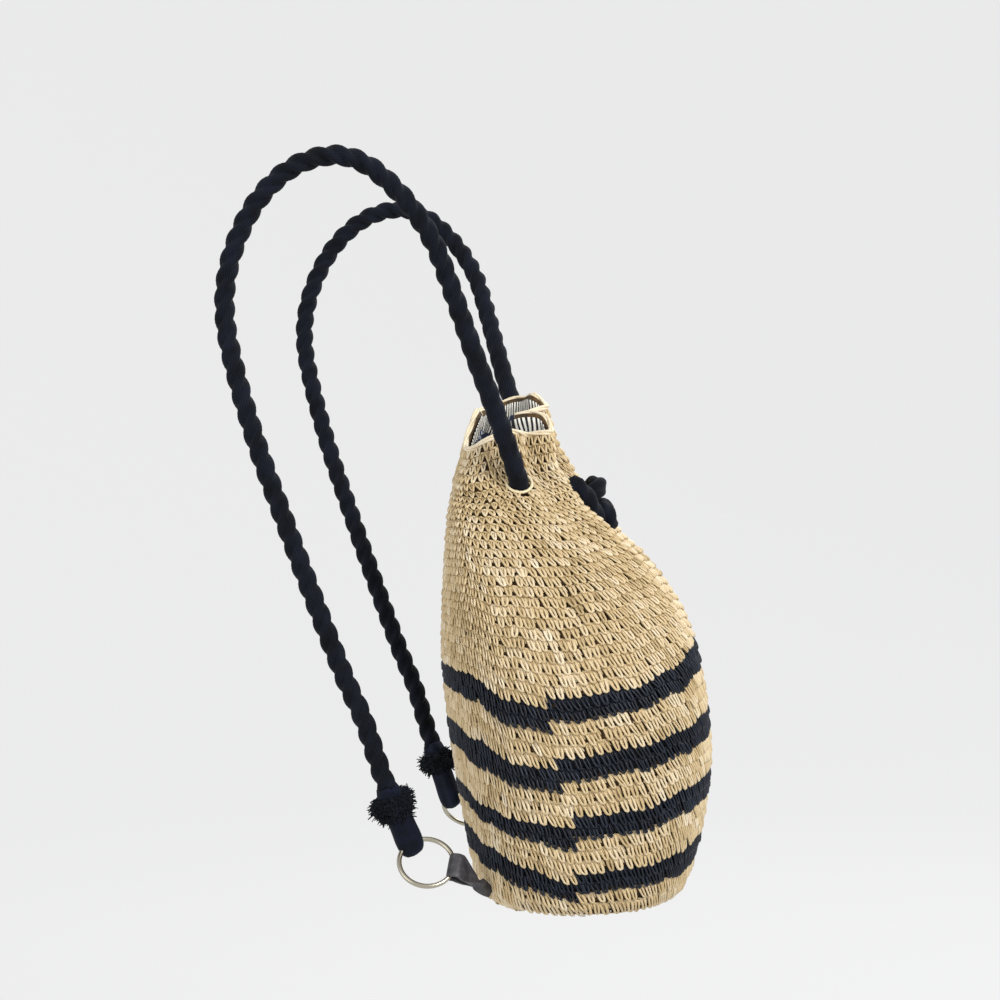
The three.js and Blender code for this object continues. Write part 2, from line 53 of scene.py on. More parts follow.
BODY = "root"
MM = 0.001
FINE_STEPS = 24  # between two points of a smooth line, before it is cut into even steps
MERGE = 1e-6  # metres between points that are one
Array = np.ndarray


# ---------------------------------------------------------------------------
# Shape of the sack and the ropes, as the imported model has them
# ---------------------------------------------------------------------------


def smooth_table(table: Array, column: int, at: Array) -> Array:
    """Reads a smooth curve through one column of a table, with its slope averaged at each row.

    Args:
        table: rows whose first column rises.
        column: the column that is read.
        at: values of the first column, of any shape.

    Returns:
        The column's value at each of them.
    """
    xs, ys = table[:, 0], table[:, column]
    slopes = np.empty(len(xs))
    slopes[1:-1] = (ys[2:] - ys[:-2]) / (xs[2:] - xs[:-2])
    slopes[0] = (ys[1] - ys[0]) / (xs[1] - xs[0])
    slopes[-1] = (ys[-1] - ys[-2]) / (xs[-1] - xs[-2])
    x = np.clip(at, xs[0], xs[-1])
    i = np.clip(np.searchsorted(xs, x) - 1, 0, len(xs) - 2)
    span = xs[i + 1] - xs[i]
    u = (x - xs[i]) / span
    rest = 1 - u
    return (
        ys[i] * (1 + 2 * u) * rest**2
        + slopes[i] * span * u * rest**2
        + ys[i + 1] * u**2 * (3 - 2 * u)
        - slopes[i + 1] * span * u**2 * rest
    )


def smoothstep(at: Array, low: float, high: float) -> Array:
    """Rises smoothly from 0 at low to 1 at high."""
    u = np.clip((at - low) / (high - low), 0, 1)
    return u * u * (3 - 2 * u)


@dataclass
class SackForm:
    """The outer face of the sack: ovals on top of each other, folded at the gathered mouth."""

    height: float = 0.396
    width: float = 0.300
    depth: float = 0.208
    hang: float = 0.558
    behind: float = 0.168
    oval_power: float = 2.35
    drop_start: float = 0.72
    # rise, width, depth, lean and fold, all as shares
    sections: Array = field(
        default_factory=lambda: np.array(
            [
                (0.0, 0.83, 0.71, -0.012, 0),
                (0.018, 0.89, 0.79, -0.012, 0),
                (0.075, 0.94, 0.855, -0.016, 0),
                (0.16, 0.973, 0.92, -0.018, 0),
                (0.26, 0.995, 0.975, -0.012, 0),
                (0.38, 1.0, 0.995, 0.01, 0.04),
                (0.49, 0.96, 0.97, 0.039, 0.13),
                (0.57, 0.9, 0.895, 0.07, 0.25),
                (0.65, 0.79, 0.77, 0.122, 0.4),
                (0.715, 0.67, 0.625, 0.178, 0.6),
                (0.775, 0.54, 0.51, 0.225, 0.8),
                (0.82, 0.45, 0.455, 0.245, 0.95),
                (0.86, 0.4, 0.4, 0.265, 1.05),
                (0.91, 0.375, 0.345, 0.285, 1.2),
                (0.96, 0.375, 0.32, 0.284, 1.35),
                (1.0, 0.38, 0.3, 0.283, 1.45),
            ]
        )
    )
    pleat_start: float = 0.88
    # Where the straw is pressed in, by the knot and in the long crease below the side hole: angle and
    # its spread, rise and its spread, share of the radius
    dents: tuple[tuple[float, float, float, float, float], ...] = (
        (151.0, 17.0, 0.79, 0.05, 0.09),
        (96.0, 6.0, 0.60, 0.055, 0.04),
        (105.0, 6.5, 0.69, 0.055, 0.06),
        (116.0, 8.0, 0.77, 0.045, 0.05),
        (87.0, 6.0, 0.61, 0.07, -0.015),
        (96.0, 5.0, 0.70, 0.05, -0.015),
    )
    # angle in degrees, reach of the lobe or valley, drop of the rim
    folds: Array = field(
        default_factory=lambda: np.array(
            [
                (0, -0.12, 0.015),
                (60, 0.24, 0.13),
                (98, -0.08, 0.08),
                (122, -0.17, 0.085),
                (148, 0.18, 0.08),
                (180, -0.27, 0.035),
                (214, 0.16, 0.02),
                (238, -0.17, 0.0),
                (262, -0.08, 0.005),
                (308, 0.2, 0.005),
                (360, -0.12, 0.015),
            ]
        )
    )
    # The same for how much further the rim itself is pressed together
    pleats: Array = field(
        default_factory=lambda: np.array(
            [
                (0, 0.03, 0.02),
                (28, -0.06, 0.005),
                (60, -0.2, -0.015),
                (98, -0.06, 0),
                (148, -0.02, 0),
                (163, 0.075, -0.01),
                (182, -0.38, 0.01),
                (198, -0.28, 0.008),
                (214, -0.2, 0.005),
                (238, 0, 0),
                (262, 0, 0),
                (308, -0.35, 0.025),
                (335, -0.18, 0.035),
                (360, 0.03, 0.02),
            ]
        )
    )

    @staticmethod
    def fold(table: Array, column: int, angle: Array) -> Array:
        """A fold's value between two rows of its table, level at each row."""
        turn = np.mod(angle, 360.0)
        at = table[:, 0]
        i = np.clip(np.searchsorted(at, turn) - 1, 0, len(at) - 2)
        u = (turn - at[i]) / (at[i + 1] - at[i])
        low, high = table[i, column], table[i + 1, column]
        return low + (high - low) * (1 - np.cos(np.pi * u)) / 2

    def droop(self, angle: Array, rise: Array) -> Array:
        """How far the face hangs below its rise, as a share of the height."""
        pleat = smoothstep(rise, self.pleat_start, 1.0) * self.fold(self.pleats, 2, angle)
        return smoothstep(rise, self.drop_start, 1.0) * self.fold(self.folds, 2, angle) + pleat

    def pressed(self, angle: Array, rise: Array) -> Array:
        """How far the face is pressed in, as a share of the radius."""
        total = np.zeros(np.broadcast(angle, rise).shape)
        for middle, spread, level, height, depth in self.dents:
            off, over = (np.mod(angle, 360.0) - middle) / spread, (rise - level) / height
            total = total + depth * np.exp(-off * off - over * over)
        return total

    def point(self, angle: Array, rise: Array) -> Array:
        """Points of the outer face.

        Args:
            angle: degrees round the sack.
            rise: shares of the height, of a shape that fits the angles.

        Returns:
            An array of that shape with x, y and z last.
        """
        angle, rise = np.broadcast_arrays(np.asarray(angle, float), np.asarray(rise, float))
        half_width = smooth_table(self.sections, 1, rise) * self.width / 2
        half_depth = smooth_table(self.sections, 2, rise) * self.depth / 2
        lean = smooth_table(self.sections, 3, rise) * self.depth
        fold = 1 + smooth_table(self.sections, 4, rise) * self.fold(self.folds, 1, angle)
        fold = fold + smoothstep(rise, self.pleat_start, 1.0) * self.fold(self.pleats, 1, angle)
        fold = fold - self.pressed(angle, rise)
        side, back = -np.sin(np.radians(angle)), np.cos(np.radians(angle))
        power = self.oval_power
        oval = (np.abs(side / half_width) ** power + np.abs(back / half_depth) ** power) ** (-1 / power)
        height = (rise - self.droop(angle, rise)) * self.height - self.hang
        return np.stack([side * oval * fold, lean - self.behind + back * oval * fold, height], axis=-1)

    def normal(self, angle: Array, rise: Array) -> Array:
        """The unit directions out of the outer face at those places."""
        angle, rise = np.broadcast_arrays(np.asarray(angle, float), np.asarray(rise, float))
        around = self.point(angle + 1, rise) - self.point(angle - 1, rise)
        low, high = np.maximum(rise - 0.004, 0), np.minimum(rise + 0.004, 1)
        upward = self.point(angle, high) - self.point(angle, low)
        across = np.cross(around, upward)
        return across / np.linalg.norm(across, axis=-1, keepdims=True)

    def base_middle(self) -> Array:
        """The middle of the flat base."""
        return np.array([0.0, self.sections[0, 3] * self.depth - self.behind, -self.hang])


STRAP_ROUTE_MM = (
    (-127, -30, -464),
    (-129, -23, -443),
    (-132, -13, -412),
    (-135, 0, -382),
    (-139, 23, -322),
    (-143, 45, -262),
    (-147, 66, -202),
    (-150, 82, -145),
    (-151, 88, -112),
    (-152, 87, -83),
    (-154, 78, -52),
    (-156, 62, -24),
    (-157, 40, -3),
    (-157, 20, 6),
    (-157, 0, 8),
    (-156, -18, 2),
    (-153, -34, -10),
    (-147, -52, -30),
    (-137, -67, -55),
    (-125, -77, -83),
    (-112, -86, -112),
    (-99, -95, -141),
    (-86, -105, -171),
    (-73, -115, -203),
    (-56, -123, -233),
    (-37, -124, -251),
    (-20, -131, -257),
    (-13, -146, -256),
    (-11, -160, -252),
)


class Side(Enum):
    """The wearer's two sides. The value mirrors X."""

    LEFT = 1
    RIGHT = -1

    @property
    def word(self) -> str:
        """The side's name in the names of pieces."""
        return self.name.lower()

    def turn(self, points: Array) -> Array:
        """Points of the left side, put on this side."""
        return np.asarray(points, float) * np.array([self.value, 1.0, 1.0])


def through(points: Array, spacing: float, closed: bool = False) -> Array:
    """A smooth line through points, in even steps.

    Args:
        points: the points that it passes, one row each.
        spacing: the wanted distance between its own points.
        closed: whether it returns to its start.

    Returns:
        The line's points. A closed line's last point isn't its first again.
    """
    points = np.asarray(points, float)
    if closed:
        extended = np.vstack([points[-1:], points, points[:2]])
    else:
        extended = np.vstack([2 * points[0] - points[1], points, 2 * points[-1] - points[-2]])
    fine = []
    for p0, p1, p2, p3 in zip(extended, extended[1:], extended[2:], extended[3:]):
        gaps = (np.linalg.norm(b - a) ** 0.5 for a, b in ((p0, p1), (p1, p2), (p2, p3)))
        t0, t1, t2, t3 = np.cumsum([0, *gaps])
        t = np.linspace(t1, t2, FINE_STEPS, endpoint=False)[:, None]
        a1 = (t1 - t) / (t1 - t0) * p0 + (t - t0) / (t1 - t0) * p1
        a2 = (t2 - t) / (t2 - t1) * p1 + (t - t1) / (t2 - t1) * p2
        a3 = (t3 - t) / (t3 - t2) * p2 + (t - t2) / (t3 - t2) * p3
        b1 = (t2 - t) / (t2 - t0) * a1 + (t - t0) / (t2 - t0) * a2
        b2 = (t3 - t) / (t3 - t1) * a2 + (t - t1) / (t3 - t1) * a3
        fine.append((t2 - t) / (t2 - t1) * b1 + (t - t1) / (t2 - t1) * b2)
    line = np.vstack([*fine, points[:1] if closed else points[-1:]])
    along = lengths_along(line)
    count = max(2, round(along[-1] / spacing))
    even = np.linspace(0, along[-1], count, endpoint=False) if closed else np.linspace(0, along[-1], count + 1)
    return np.stack([np.interp(even, along, line[:, k]) for k in range(3)], axis=1)


def lengths_along(line: Array) -> Array:
    """How far along a line each of its points lies."""
    return np.concatenate([[0], np.cumsum(np.linalg.norm(np.diff(line, axis=0), axis=1))])


def unit(vectors: Array) -> Array:
    """The same directions with length 1."""
    return vectors / np.linalg.norm(vectors, axis=-1, keepdims=True)


def carried_frames(line: Array, hint: Sequence[float], closed: bool = False) -> tuple[Array, Array]:
    """Two directions across a line at each point, carried along it without twist.

    Args:
        line: the line's points.
        hint: the rough first direction.
        closed: whether the line returns to its start, so that the rest of twist is spread over it.

    Returns:
        The two directions at each point.
    """
    if closed:
        tangents = unit(np.roll(line, -1, axis=0) - np.roll(line, 1, axis=0))
    else:
        tangents = unit(np.gradient(line, axis=0))
    first = np.empty_like(line)
    across = np.asarray(hint, float)
    for i, tangent in enumerate(tangents):
        across = across - tangent * across.dot(tangent)
        across = across / np.linalg.norm(across)
        first[i] = across
    second = np.cross(tangents, first)
    if closed:
        last = first[-1] - tangents[0] * first[-1].dot(tangents[0])
        gap = math.atan2(float(last.dot(second[0])), float(last.dot(first[0])))
        turn = -gap * np.arange(len(line))[:, None] / len(line)
        first, second = (
            first * np.cos(turn) + second * np.sin(turn),
            second * np.cos(turn) - first * np.sin(turn),
        )
    return first, second


# ---------------------------------------------------------------------------
# Meshes
# ---------------------------------------------------------------------------


def link(name: str, mesh: bpy.types.Mesh) -> bpy.types.Object:
    """An object for a mesh, in the scene, with its faces smooth."""
    piece = bpy.data.objects.new(name, mesh)
    bpy.context.scene.collection.objects.link(piece)
    mesh.polygons.foreach_set("use_smooth", np.full(len(mesh.polygons), True))
    mesh.update()
    return piece


def from_bmesh(name: str, bm: bmesh.types.BMesh) -> bpy.types.Object:
    """An object for a bmesh, which is freed."""
    mesh = bpy.data.meshes.new(name)
    bm.to_mesh(mesh)
    bm.free()
    return link(name, mesh)


def outward(bm: bmesh.types.BMesh) -> None:
    """Turns the faces of closed parts to point outward."""
    bmesh.ops.recalc_face_normals(bm, faces=bm.faces[:])


def straight_bar(sides: int, steps: int) -> bmesh.types.BMesh:
    """An open straight bar of rings along Z. Its vertices lie ring by ring."""
    bm = bmesh.new()
    bmesh.ops.create_circle(bm, segments=sides, radius=1.0, cap_ends=False)
    bmesh.ops.spin(
        bm,
        geom=bm.verts[:] + bm.edges[:],
        cent=(0, 0, 0),
        axis=(0, 0, 1),
        dvec=(0, 0, 1),
        angle=0.0,
        steps=steps,
        use_merge=False,
        use_duplicate=False,
    )
    return bm


def spin_round(bm: bmesh.types.BMesh, steps: int) -> None:
    """Spins a whole outline once round Z."""
    bmesh.ops.spin(
        bm,
        geom=bm.verts[:] + bm.edges[:],
        cent=(0, 0, 0),
        axis=(0, 0, 1),
        dvec=(0, 0, 0),
        angle=2 * math.pi,
        steps=steps,
        use_merge=True,
        use_duplicate=False,
    )


def bent_bar(
    line: Array,
    section: Callable[[Array, Array], tuple[Array, Array]],
    sides: int,
    hint: Sequence[float] = (0, 0, 1),
    closed: bool = False,
    frames: tuple[Array, Array] | None = None,
) -> bmesh.types.BMesh:
    """A bar whose rings follow a line.

    Args:
        line: the middle of each ring.
        section: gives the two offsets across the line from the turn in radians and the ring's number,
            both as arrays of rings by sides.
        sides: corners of a ring.
        hint: the rough direction of the first offset at the start.
        closed: whether the last ring joins the first.
        frames: the two directions across the line, if they aren't just carried along it.

    Returns:
        The closed bar, with a UV map of metres along it and turns round it.
    """
    first, second = frames if frames is not None else carried_frames(line, hint, closed)
    rings = len(line)
    if closed:
        line = np.vstack([line, line[:1]])
        first = np.vstack([first, first[:1]])
        second = np.vstack([second, second[:1]])
    bm = straight_bar(sides, len(line) - 1)
    turn, ring = np.meshgrid(2 * np.pi * np.arange(sides) / sides, np.arange(len(line)) % rings)
    a, b = section(turn, ring)
    place = line[:, None] + first[:, None] * a[..., None] + second[:, None] * b[..., None]
    bm.verts.ensure_lookup_table()
    for vert, co in zip(bm.verts, place.reshape(-1, 3)):
        vert.co = co
    along = lengths_along(line)
    uv = bm.loops.layers.uv.new("strand")
    bm.verts.index_update()
    for face in bm.faces:
        turns = [loop.vert.index % sides for loop in face.loops]
        wraps = max(turns) - min(turns) > sides / 2
        for loop, t in zip(face.loops, turns):
            over = sides if wraps and t < sides / 2 else 0
            loop[uv].uv = (along[loop.vert.index // sides], (t + over) / sides)
    if closed:
        bmesh.ops.remove_doubles(bm, verts=bm.verts[:], dist=MERGE)
    else:
        rims = [edge for edge in bm.edges if edge.is_boundary]
        bmesh.ops.holes_fill(bm, edges=rims, sides=0)
    outward(bm)
    return bm


def round_section(radius: float | Array) -> Callable[[Array, Array], tuple[Array, Array]]:
    """A round section of one radius, or of one radius for each ring."""

    def offsets(turn: Array, ring: Array) -> tuple[Array, Array]:
        """The offsets of each corner across the line."""
        r = np.asarray(radius)[ring] if np.ndim(radius) else radius
        return r * np.cos(turn), r * np.sin(turn)

    return offsets


def merged(name: str, parts: Sequence[bmesh.types.BMesh]) -> bpy.types.Object:
    """One object from several bmeshes, which are freed."""
    whole = bmesh.new()
    mesh = bpy.data.meshes.new(name + "_part")
    for part in parts:
        part.to_mesh(mesh)
        part.free()
        whole.from_mesh(mesh)
    bpy.data.meshes.remove(mesh)
    return from_bmesh(name, whole)


def set_tones(mesh: bpy.types.Mesh, tones: Array) -> None:
    """Gives each vertex its tone, from 0, dark, to 1, light."""
    layer = mesh.attributes.new("tone", "FLOAT", "POINT")
    layer.data.foreach_set("value", tones.astype(np.float32))


def unrolled_sheet(columns: int, levels: int) -> tuple[bmesh.types.BMesh, Array, Array]:
    """A flat grid that is still to be bent round the sack.

    Args:
        columns: faces round the sack.
        levels: faces up the wall.

    Returns:
        The grid, each vertex's share of the way round, and its share of the way up.
    """
    bm = bmesh.new()
    bmesh.ops.create_grid(bm, x_segments=columns, y_segments=levels, size=0.5)
    places = np.array([vert.co for vert in bm.verts])
    return bm, places[:, 0] + 0.5, places[:, 1] + 0.5


def bend_sheet(
    bm: bmesh.types.BMesh, points: Array, floor: float, rope_lines: Sequence[Array], rope_room: float
) -> None:
    """Bends a flat grid round the sack, closes it at the base and cuts it free of the ropes.

    Args:
        bm: the grid.
        points: where its vertices go.
        floor: the height below which its lower edge lies.
        rope_lines: the middles of the ropes that pass through it.
        rope_room: what is kept free round each of them.
    """
    for vert, co in zip(bm.verts, points):
        vert.co = co
    bmesh.ops.remove_doubles(bm, verts=bm.verts[:], dist=MERGE)
    low = [edge for edge in bm.edges if edge.is_boundary and edge.verts[0].co.z < floor]
    bmesh.ops.holes_fill(bm, edges=low, sides=0)
    outward(bm)
    middles = np.array([face.calc_center_median() for face in bm.faces])
    away = [np.linalg.norm(middles[:, None] - line[None], axis=2).min(axis=1) for line in rope_lines]
    pierced = [face for face, near in zip(bm.faces, np.min(away, axis=0) <= rope_room) if near]
    bmesh.ops.delete(bm, geom=pierced, context="FACES")


def thicken(piece: bpy.types.Object, thickness: float) -> None:
    """Gives a sheet its thickness, inward from its outer face."""
    wall = piece.modifiers.new("wall", "SOLIDIFY")
    wall.thickness = thickness
    wall.offset = -1.0


# ---------------------------------------------------------------------------
# Finishes
# ---------------------------------------------------------------------------


def linear(code: str) -> tuple[float, float, float, float]:
    """An sRGB hex colour in linear values."""
    parts = [int(code[i : i + 2], 16) / 255 for i in (1, 3, 5)]
    r, g, b = (c / 12.92 if c <= 0.04045 else ((c + 0.055) / 1.055) ** 2.4 for c in parts)
    return (r, g, b, 1.0)


def add_node(
    tree: bpy.types.NodeTree,
    kind: str,
    settings: dict[str | int, Any] | None = None,
    links: dict[str | int, bpy.types.NodeSocket] | None = None,
) -> bpy.types.Node:
    """Adds one node.

    Args:
        tree: the material's node tree.
        kind: the node's type, without "ShaderNode".
        settings: properties, and input values whose name or number is a key.
        links: input names or numbers and the output sockets that feed them.

    Returns:
        The node.
    """
    node = tree.nodes.new("ShaderNode" + kind)
    for key, value in (settings or {}).items():
        if isinstance(key, int) or key in node.inputs:
            node.inputs[key].default_value = value
        else:
            setattr(node, key, value)
    for key, socket in (links or {}).items():
        tree.links.new(socket, node.inputs[key])
    return node


def object_place(tree: bpy.types.NodeTree) -> bpy.types.NodeSocket:
    """The place on the object, in metres."""
    return add_node(tree, "TexCoord").outputs["Object"]


def mapped(tree: bpy.types.NodeTree, name: str) -> bpy.types.NodeSocket:
    """The place on one of the object's UV maps."""
    return add_node(tree, "UVMap", {"uv_map": name}).outputs["UV"]


def noise(
    tree: bpy.types.NodeTree, place: bpy.types.NodeSocket, scale: float, detail: float, roughness: float = 0.5
) -> bpy.types.NodeSocket:
    """The value of a noise over a place."""
    settings = {"Scale": scale, "Detail": detail, "Roughness": roughness}
    return add_node(tree, "TexNoise", settings, {"Vector": place}).outputs["Fac"]


def add_share(
    tree: bpy.types.NodeTree, value: bpy.types.NodeSocket, share: float, base: bpy.types.NodeSocket
) -> bpy.types.NodeSocket:
    """A share of one value on top of another."""
    node = add_node(tree, "Math", {"operation": "MULTIPLY_ADD", 1: share}, {0: value, 2: base})
    return node.outputs["Value"]


def ramped(
    tree: bpy.types.NodeTree, value: bpy.types.NodeSocket, stops: Sequence[tuple[float, str]]
) -> bpy.types.NodeSocket:
    """The colour that a value from 0 to 1 has among stops, each a place with its sRGB hex colour."""
    ramp = add_node(tree, "ValToRGB", None, {"Fac": value})
    elements = ramp.color_ramp.elements
    while len(elements) > 1:
        elements.remove(elements[-1])
    elements[0].position, elements[0].color = stops[0][0], linear(stops[0][1])
    for at, code in stops[1:]:
        elements.new(at).color = linear(code)
    return ramp.outputs["Color"]


@dataclass(frozen=True)
class Finish:
    """A material that starts from one Principled shader."""

    name: str
    roughness: float
    ior: float = 1.5
    metallic: float = 0.0

    def start(self, **values: float) -> tuple[bpy.types.Material, bpy.types.NodeTree, bpy.types.Node]:
        """A new material with its tree and its shader.

        Args:
            values: more of the shader's own numbers, with underscores for the spaces in their names.

        Returns:
            The material, its node tree and its Principled shader.
        """
        material = bpy.data.materials.new(self.name)
        material.use_nodes = True
        tree = material.node_tree
        shader = tree.nodes["Principled BSDF"]
        shader.inputs["Roughness"].default_value = self.roughness
        shader.inputs["Metallic"].default_value = self.metallic
        if self.metallic == 0:
            shader.inputs["IOR"].default_value = self.ior
        for key, value in values.items():
            shader.inputs[key.replace("_", " ")].default_value = value
        return material, tree, shader

    @staticmethod
    def cover(
        tree: bpy.types.NodeTree,
        shader: bpy.types.Node,
        colour: bpy.types.NodeSocket,
        height: bpy.types.NodeSocket,
        strength: float,
        distance: float,
    ) -> None:
        """Feeds a shader its colour and its fine relief, with the relief's strength and its metres."""
        bump = add_node(tree, "Bump", {"Strength": strength, "Distance": distance}, {"Height": height})
        tree.links.new(colour, shader.inputs["Base Color"])
        tree.links.new(bump.outputs["Normal"], shader.inputs["Normal"])


@dataclass(frozen=True)
class PaperStraw(Finish):
    """Twisted paper straw: thin flat ribbon that keeps fine creases along its length and a satin face."""

    dark: str = "#806638"
    middle: str = "#C9B287"
    light: str = "#F6EEDA"
    crease: float = 0.00045  # between the creases of a strand
    girth: float = 0.0085  # round a strand
    crease_share: float = 0.35  # of the girth that creases
    streaks: float = 220.0  # along a metre of strand
    gloss: float = 0.5

    def material(self) -> bpy.types.Material:
        """Colour from each stitch's own tone, a drift over the whole sack, and painted shade and highlight along the
        creases of the strand.
        """
        material, tree, shader = self.start(Specular_IOR_Level=self.gloss)
        tone = add_node(tree, "Attribute", {"attribute_name": "tone"}).outputs["Fac"]
        drifted = add_share(tree, noise(tree, object_place(tree), 22.0, 3.0), 0.35, tone)
        round_strand = self.girth / self.crease * self.crease_share
        stretched = add_node(
            tree, "Mapping", {"Scale": (self.streaks, round_strand, 1.0)}, {"Vector": mapped(tree, "strand")}
        )
        creases = noise(tree, stretched.outputs["Vector"], 1.0, 3.0, 0.6)
        # Painted shade and highlight: the crease relief also darkens the colour in the creases and lightens it on
        # their ridges
        crease_shaded = add_share(tree, creases, 0.55, drifted)
        centred = add_node(tree, "Math", {"operation": "SUBTRACT", 1: 0.47}, {0: crease_shaded}).outputs["Value"]
        colour = ramped(tree, centred, [(0.0, self.dark), (0.45, self.middle), (1.0, self.light)])
        self.cover(tree, shader, colour, creases, 0.5, 0.0003)
        return material


@dataclass(frozen=True)
class GapShadeSheet(Finish):
    """A dark sheet of painted shade behind the straw crochet, which only shows as dark gaps between the stitches."""

    # Painted shade: the colours of the dark gaps between the stitches
    shade: str = "#5A4220"
    deep: str = "#33230D"

    def material(self) -> bpy.types.Material:
        """Dull brown painted shade with short darker flecks at the stitches' own scale of 4 mm."""
        material, tree, shader = self.start()
        flecks = noise(tree, object_place(tree), 250.0, 2.0)
        colour = ramped(tree, flecks, [(0.35, self.deep), (0.65, self.shade)])
        self.cover(tree, shader, colour, flecks, 0.6, 0.0008)
        return material


@dataclass(frozen=True)
class PrintedCotton(Finish):
    """Thin woven cotton with a plain generic print: pale specks on blue grey under a striped border."""

    ground: str = "#30384F"
    speck: str = "#B9C0D0"
    stripe: str = "#E6E3D8"
    border: float = 0.381  # where the stripes along the mouth begin, up the cloth
    ink: str = "#17171C"
    speck_spacing: float = 0.0075
    stripe_width: float = 0.0062
    thread: float = 0.0005
    wander: float = 0.004  # how far the print's lines wander
    border_wave: float = 0.05  # from the lowest to the highest place of the border's edge

    @staticmethod
    def wave_scale(length: float) -> float:
        """The scale at which a wave texture's bands are that far apart."""
        return 1 / (20 * length) * 2 * math.pi

    def material(self) -> bpy.types.Material:
        """Specks below, and a striped border with a wandering edge along the mouth."""
        material, tree, shader = self.start()
        cloth = mapped(tree, "cloth")
        wobble = add_node(tree, "TexNoise", {"Scale": 60.0, "Detail": 1.0}, {"Vector": cloth})
        bent = add_node(
            tree,
            "VectorMath",
            {"operation": "MULTIPLY_ADD", 1: (self.wander, self.wander, 0.0)},
            {0: wobble.outputs["Color"], 2: cloth},
        ).outputs["Vector"]
        specks = add_node(
            tree, "TexVoronoi", {"Scale": 1 / self.speck_spacing, "Randomness": 0.9}, {"Vector": bent}
        )
        dots = ramped(
            tree,
            specks.outputs["Distance"],
            [(0.0, self.speck), (0.3, self.speck), (0.38, self.ground), (1.0, self.ground)],
        )
        bands = add_node(
            tree,
            "TexWave",
            {"Scale": self.wave_scale(self.stripe_width), "Distortion": 0.6, "Detail": 0.0},
            {"Vector": bent},
        )
        stripes = ramped(
            tree,
            bands.outputs["Fac"],
            [(0.0, self.ink), (0.42, self.ink), (0.5, self.stripe), (1.0, self.stripe)],
        )
        up = add_node(tree, "SeparateXYZ", None, {"Vector": cloth}).outputs["Y"]
        level = add_share(tree, noise(tree, cloth, 16.0, 1.0), self.border_wave, up)
        edge = self.border + self.border_wave / 2
        above = add_node(tree, "Math", {"operation": "GREATER_THAN", 1: edge}, {0: level}).outputs["Value"]
        print_mix = add_node(tree, "Mix", {"data_type": "RGBA"}, {0: above, 6: dots, 7: stripes})
        weave = add_node(
            tree,
            "TexWave",
            {"Scale": self.wave_scale(self.thread), "bands_direction": "DIAGONAL"},
            {"Vector": cloth},
        )
        self.cover(tree, shader, print_mix.outputs[2], weave.outputs["Fac"], 0.25, 0.0002)
        return material


@dataclass(frozen=True)
class CottonRope(Finish):
    """Dyed cotton yarns laid into strands: matt, with a soft haze of fibres and fine lines of yarn."""

    dark: str = "#04060D"
    light: str = "#171D31"
    yarns: float = 26.0  # round the rope
    yarn_twist: float = -40.0  # turns of the yarn lines per metre
    relief: float = 0.45

    def material(self) -> bpy.types.Material:
        """Yarn lines that run along the strands, a drift of tone, and a soft sheen."""
        material, tree, shader = self.start(Sheen_Weight=0.04, Sheen_Roughness=0.5, Specular_IOR_Level=0.12)
        turned = add_node(
            tree, "Mapping", {"Scale": (self.yarn_twist, self.yarns, 1.0)}, {"Vector": mapped(tree, "strand")}
        )
        split = add_node(tree, "SeparateXYZ", None, {"Vector": turned.outputs["Vector"]})
        summed = add_node(tree, "Math", {"operation": "ADD"}, {0: split.outputs["X"], 1: split.outputs["Y"]})
        phase = add_node(tree, "Math", {"operation": "MULTIPLY", 1: 2 * math.pi}, {0: summed.outputs["Value"]})
        line = add_node(tree, "Math", {"operation": "SINE"}, {0: phase.outputs["Value"]}).outputs["Value"]
        where = object_place(tree)
        height = add_share(tree, line, 0.35, noise(tree, where, 900.0, 3.0))
        # Painted shade: the yarn lines also darken the colour in their grooves, over a random drift of tone
        shade = add_share(tree, line, 0.16, noise(tree, where, 60.0, 2.0))
        colour = ramped(tree, shade, [(0.25, self.dark), (0.8, self.light)])
        self.cover(tree, shader, colour, height, self.relief, 0.0005)
        return material


@dataclass(frozen=True)
class NickelPlate(Finish):
    """Nickel-plated steel wire: bright, a little warm, with faint rubbed patches."""

    tint: str = "#AFA999"
    smoother: float = 0.06  # how much less rough the rubbed patches are
    duller: float = 0.12  # how much rougher the others are

    def material(self) -> bpy.types.Material:
        """A metal whose roughness drifts where it has been handled."""
        material, tree, shader = self.start()
        shader.inputs["Base Color"].default_value = linear(self.tint)
        spread = add_node(
            tree,
            "MapRange",
            {"To Min": self.roughness - self.smoother, "To Max": self.roughness + self.duller},
            {"Value": noise(tree, object_place(tree), 120.0, 4.0)},
        )
        tree.links.new(spread.outputs["Result"], shader.inputs["Roughness"])
        return material


@dataclass(frozen=True)
class StrapLeather(Finish):
    """Dyed cowhide with a fine pebbled grain and a slow drift of shade."""

    dark: str = "#242326"
    light: str = "#4A484C"
    grain: float = 0.0007

    def material(self) -> bpy.types.Material:
        """Pebble grain in height, and patches in shade."""
        material, tree, shader = self.start()
        where = object_place(tree)
        pebbles = add_node(tree, "TexVoronoi", {"Scale": 1 / self.grain, "Randomness": 1.0}, {"Vector": where})
        colour = ramped(tree, noise(tree, where, 150.0, 4.0), [(0.3, self.dark), (0.75, self.light)])
        self.cover(tree, shader, colour, pebbles.outputs["Distance"], 0.4, 0.0002)
        return material


@dataclass(frozen=True)
class StudioPaper(Finish):
    """The matt pale paper of the floor and the backdrop, lit from behind so that it stays even."""

    shade: str = "#6E6E6E"
    glow: str = "#D6D6D6"

    def material(self) -> bpy.types.Material:
        """One plain matt colour and an even glow."""
        material, _, shader = self.start(Emission_Strength=1.0, Specular_IOR_Level=0.1)
        shader.inputs["Base Color"].default_value = linear(self.shade)
        shader.inputs["Emission Color"].default_value = linear(self.glow)
        return material


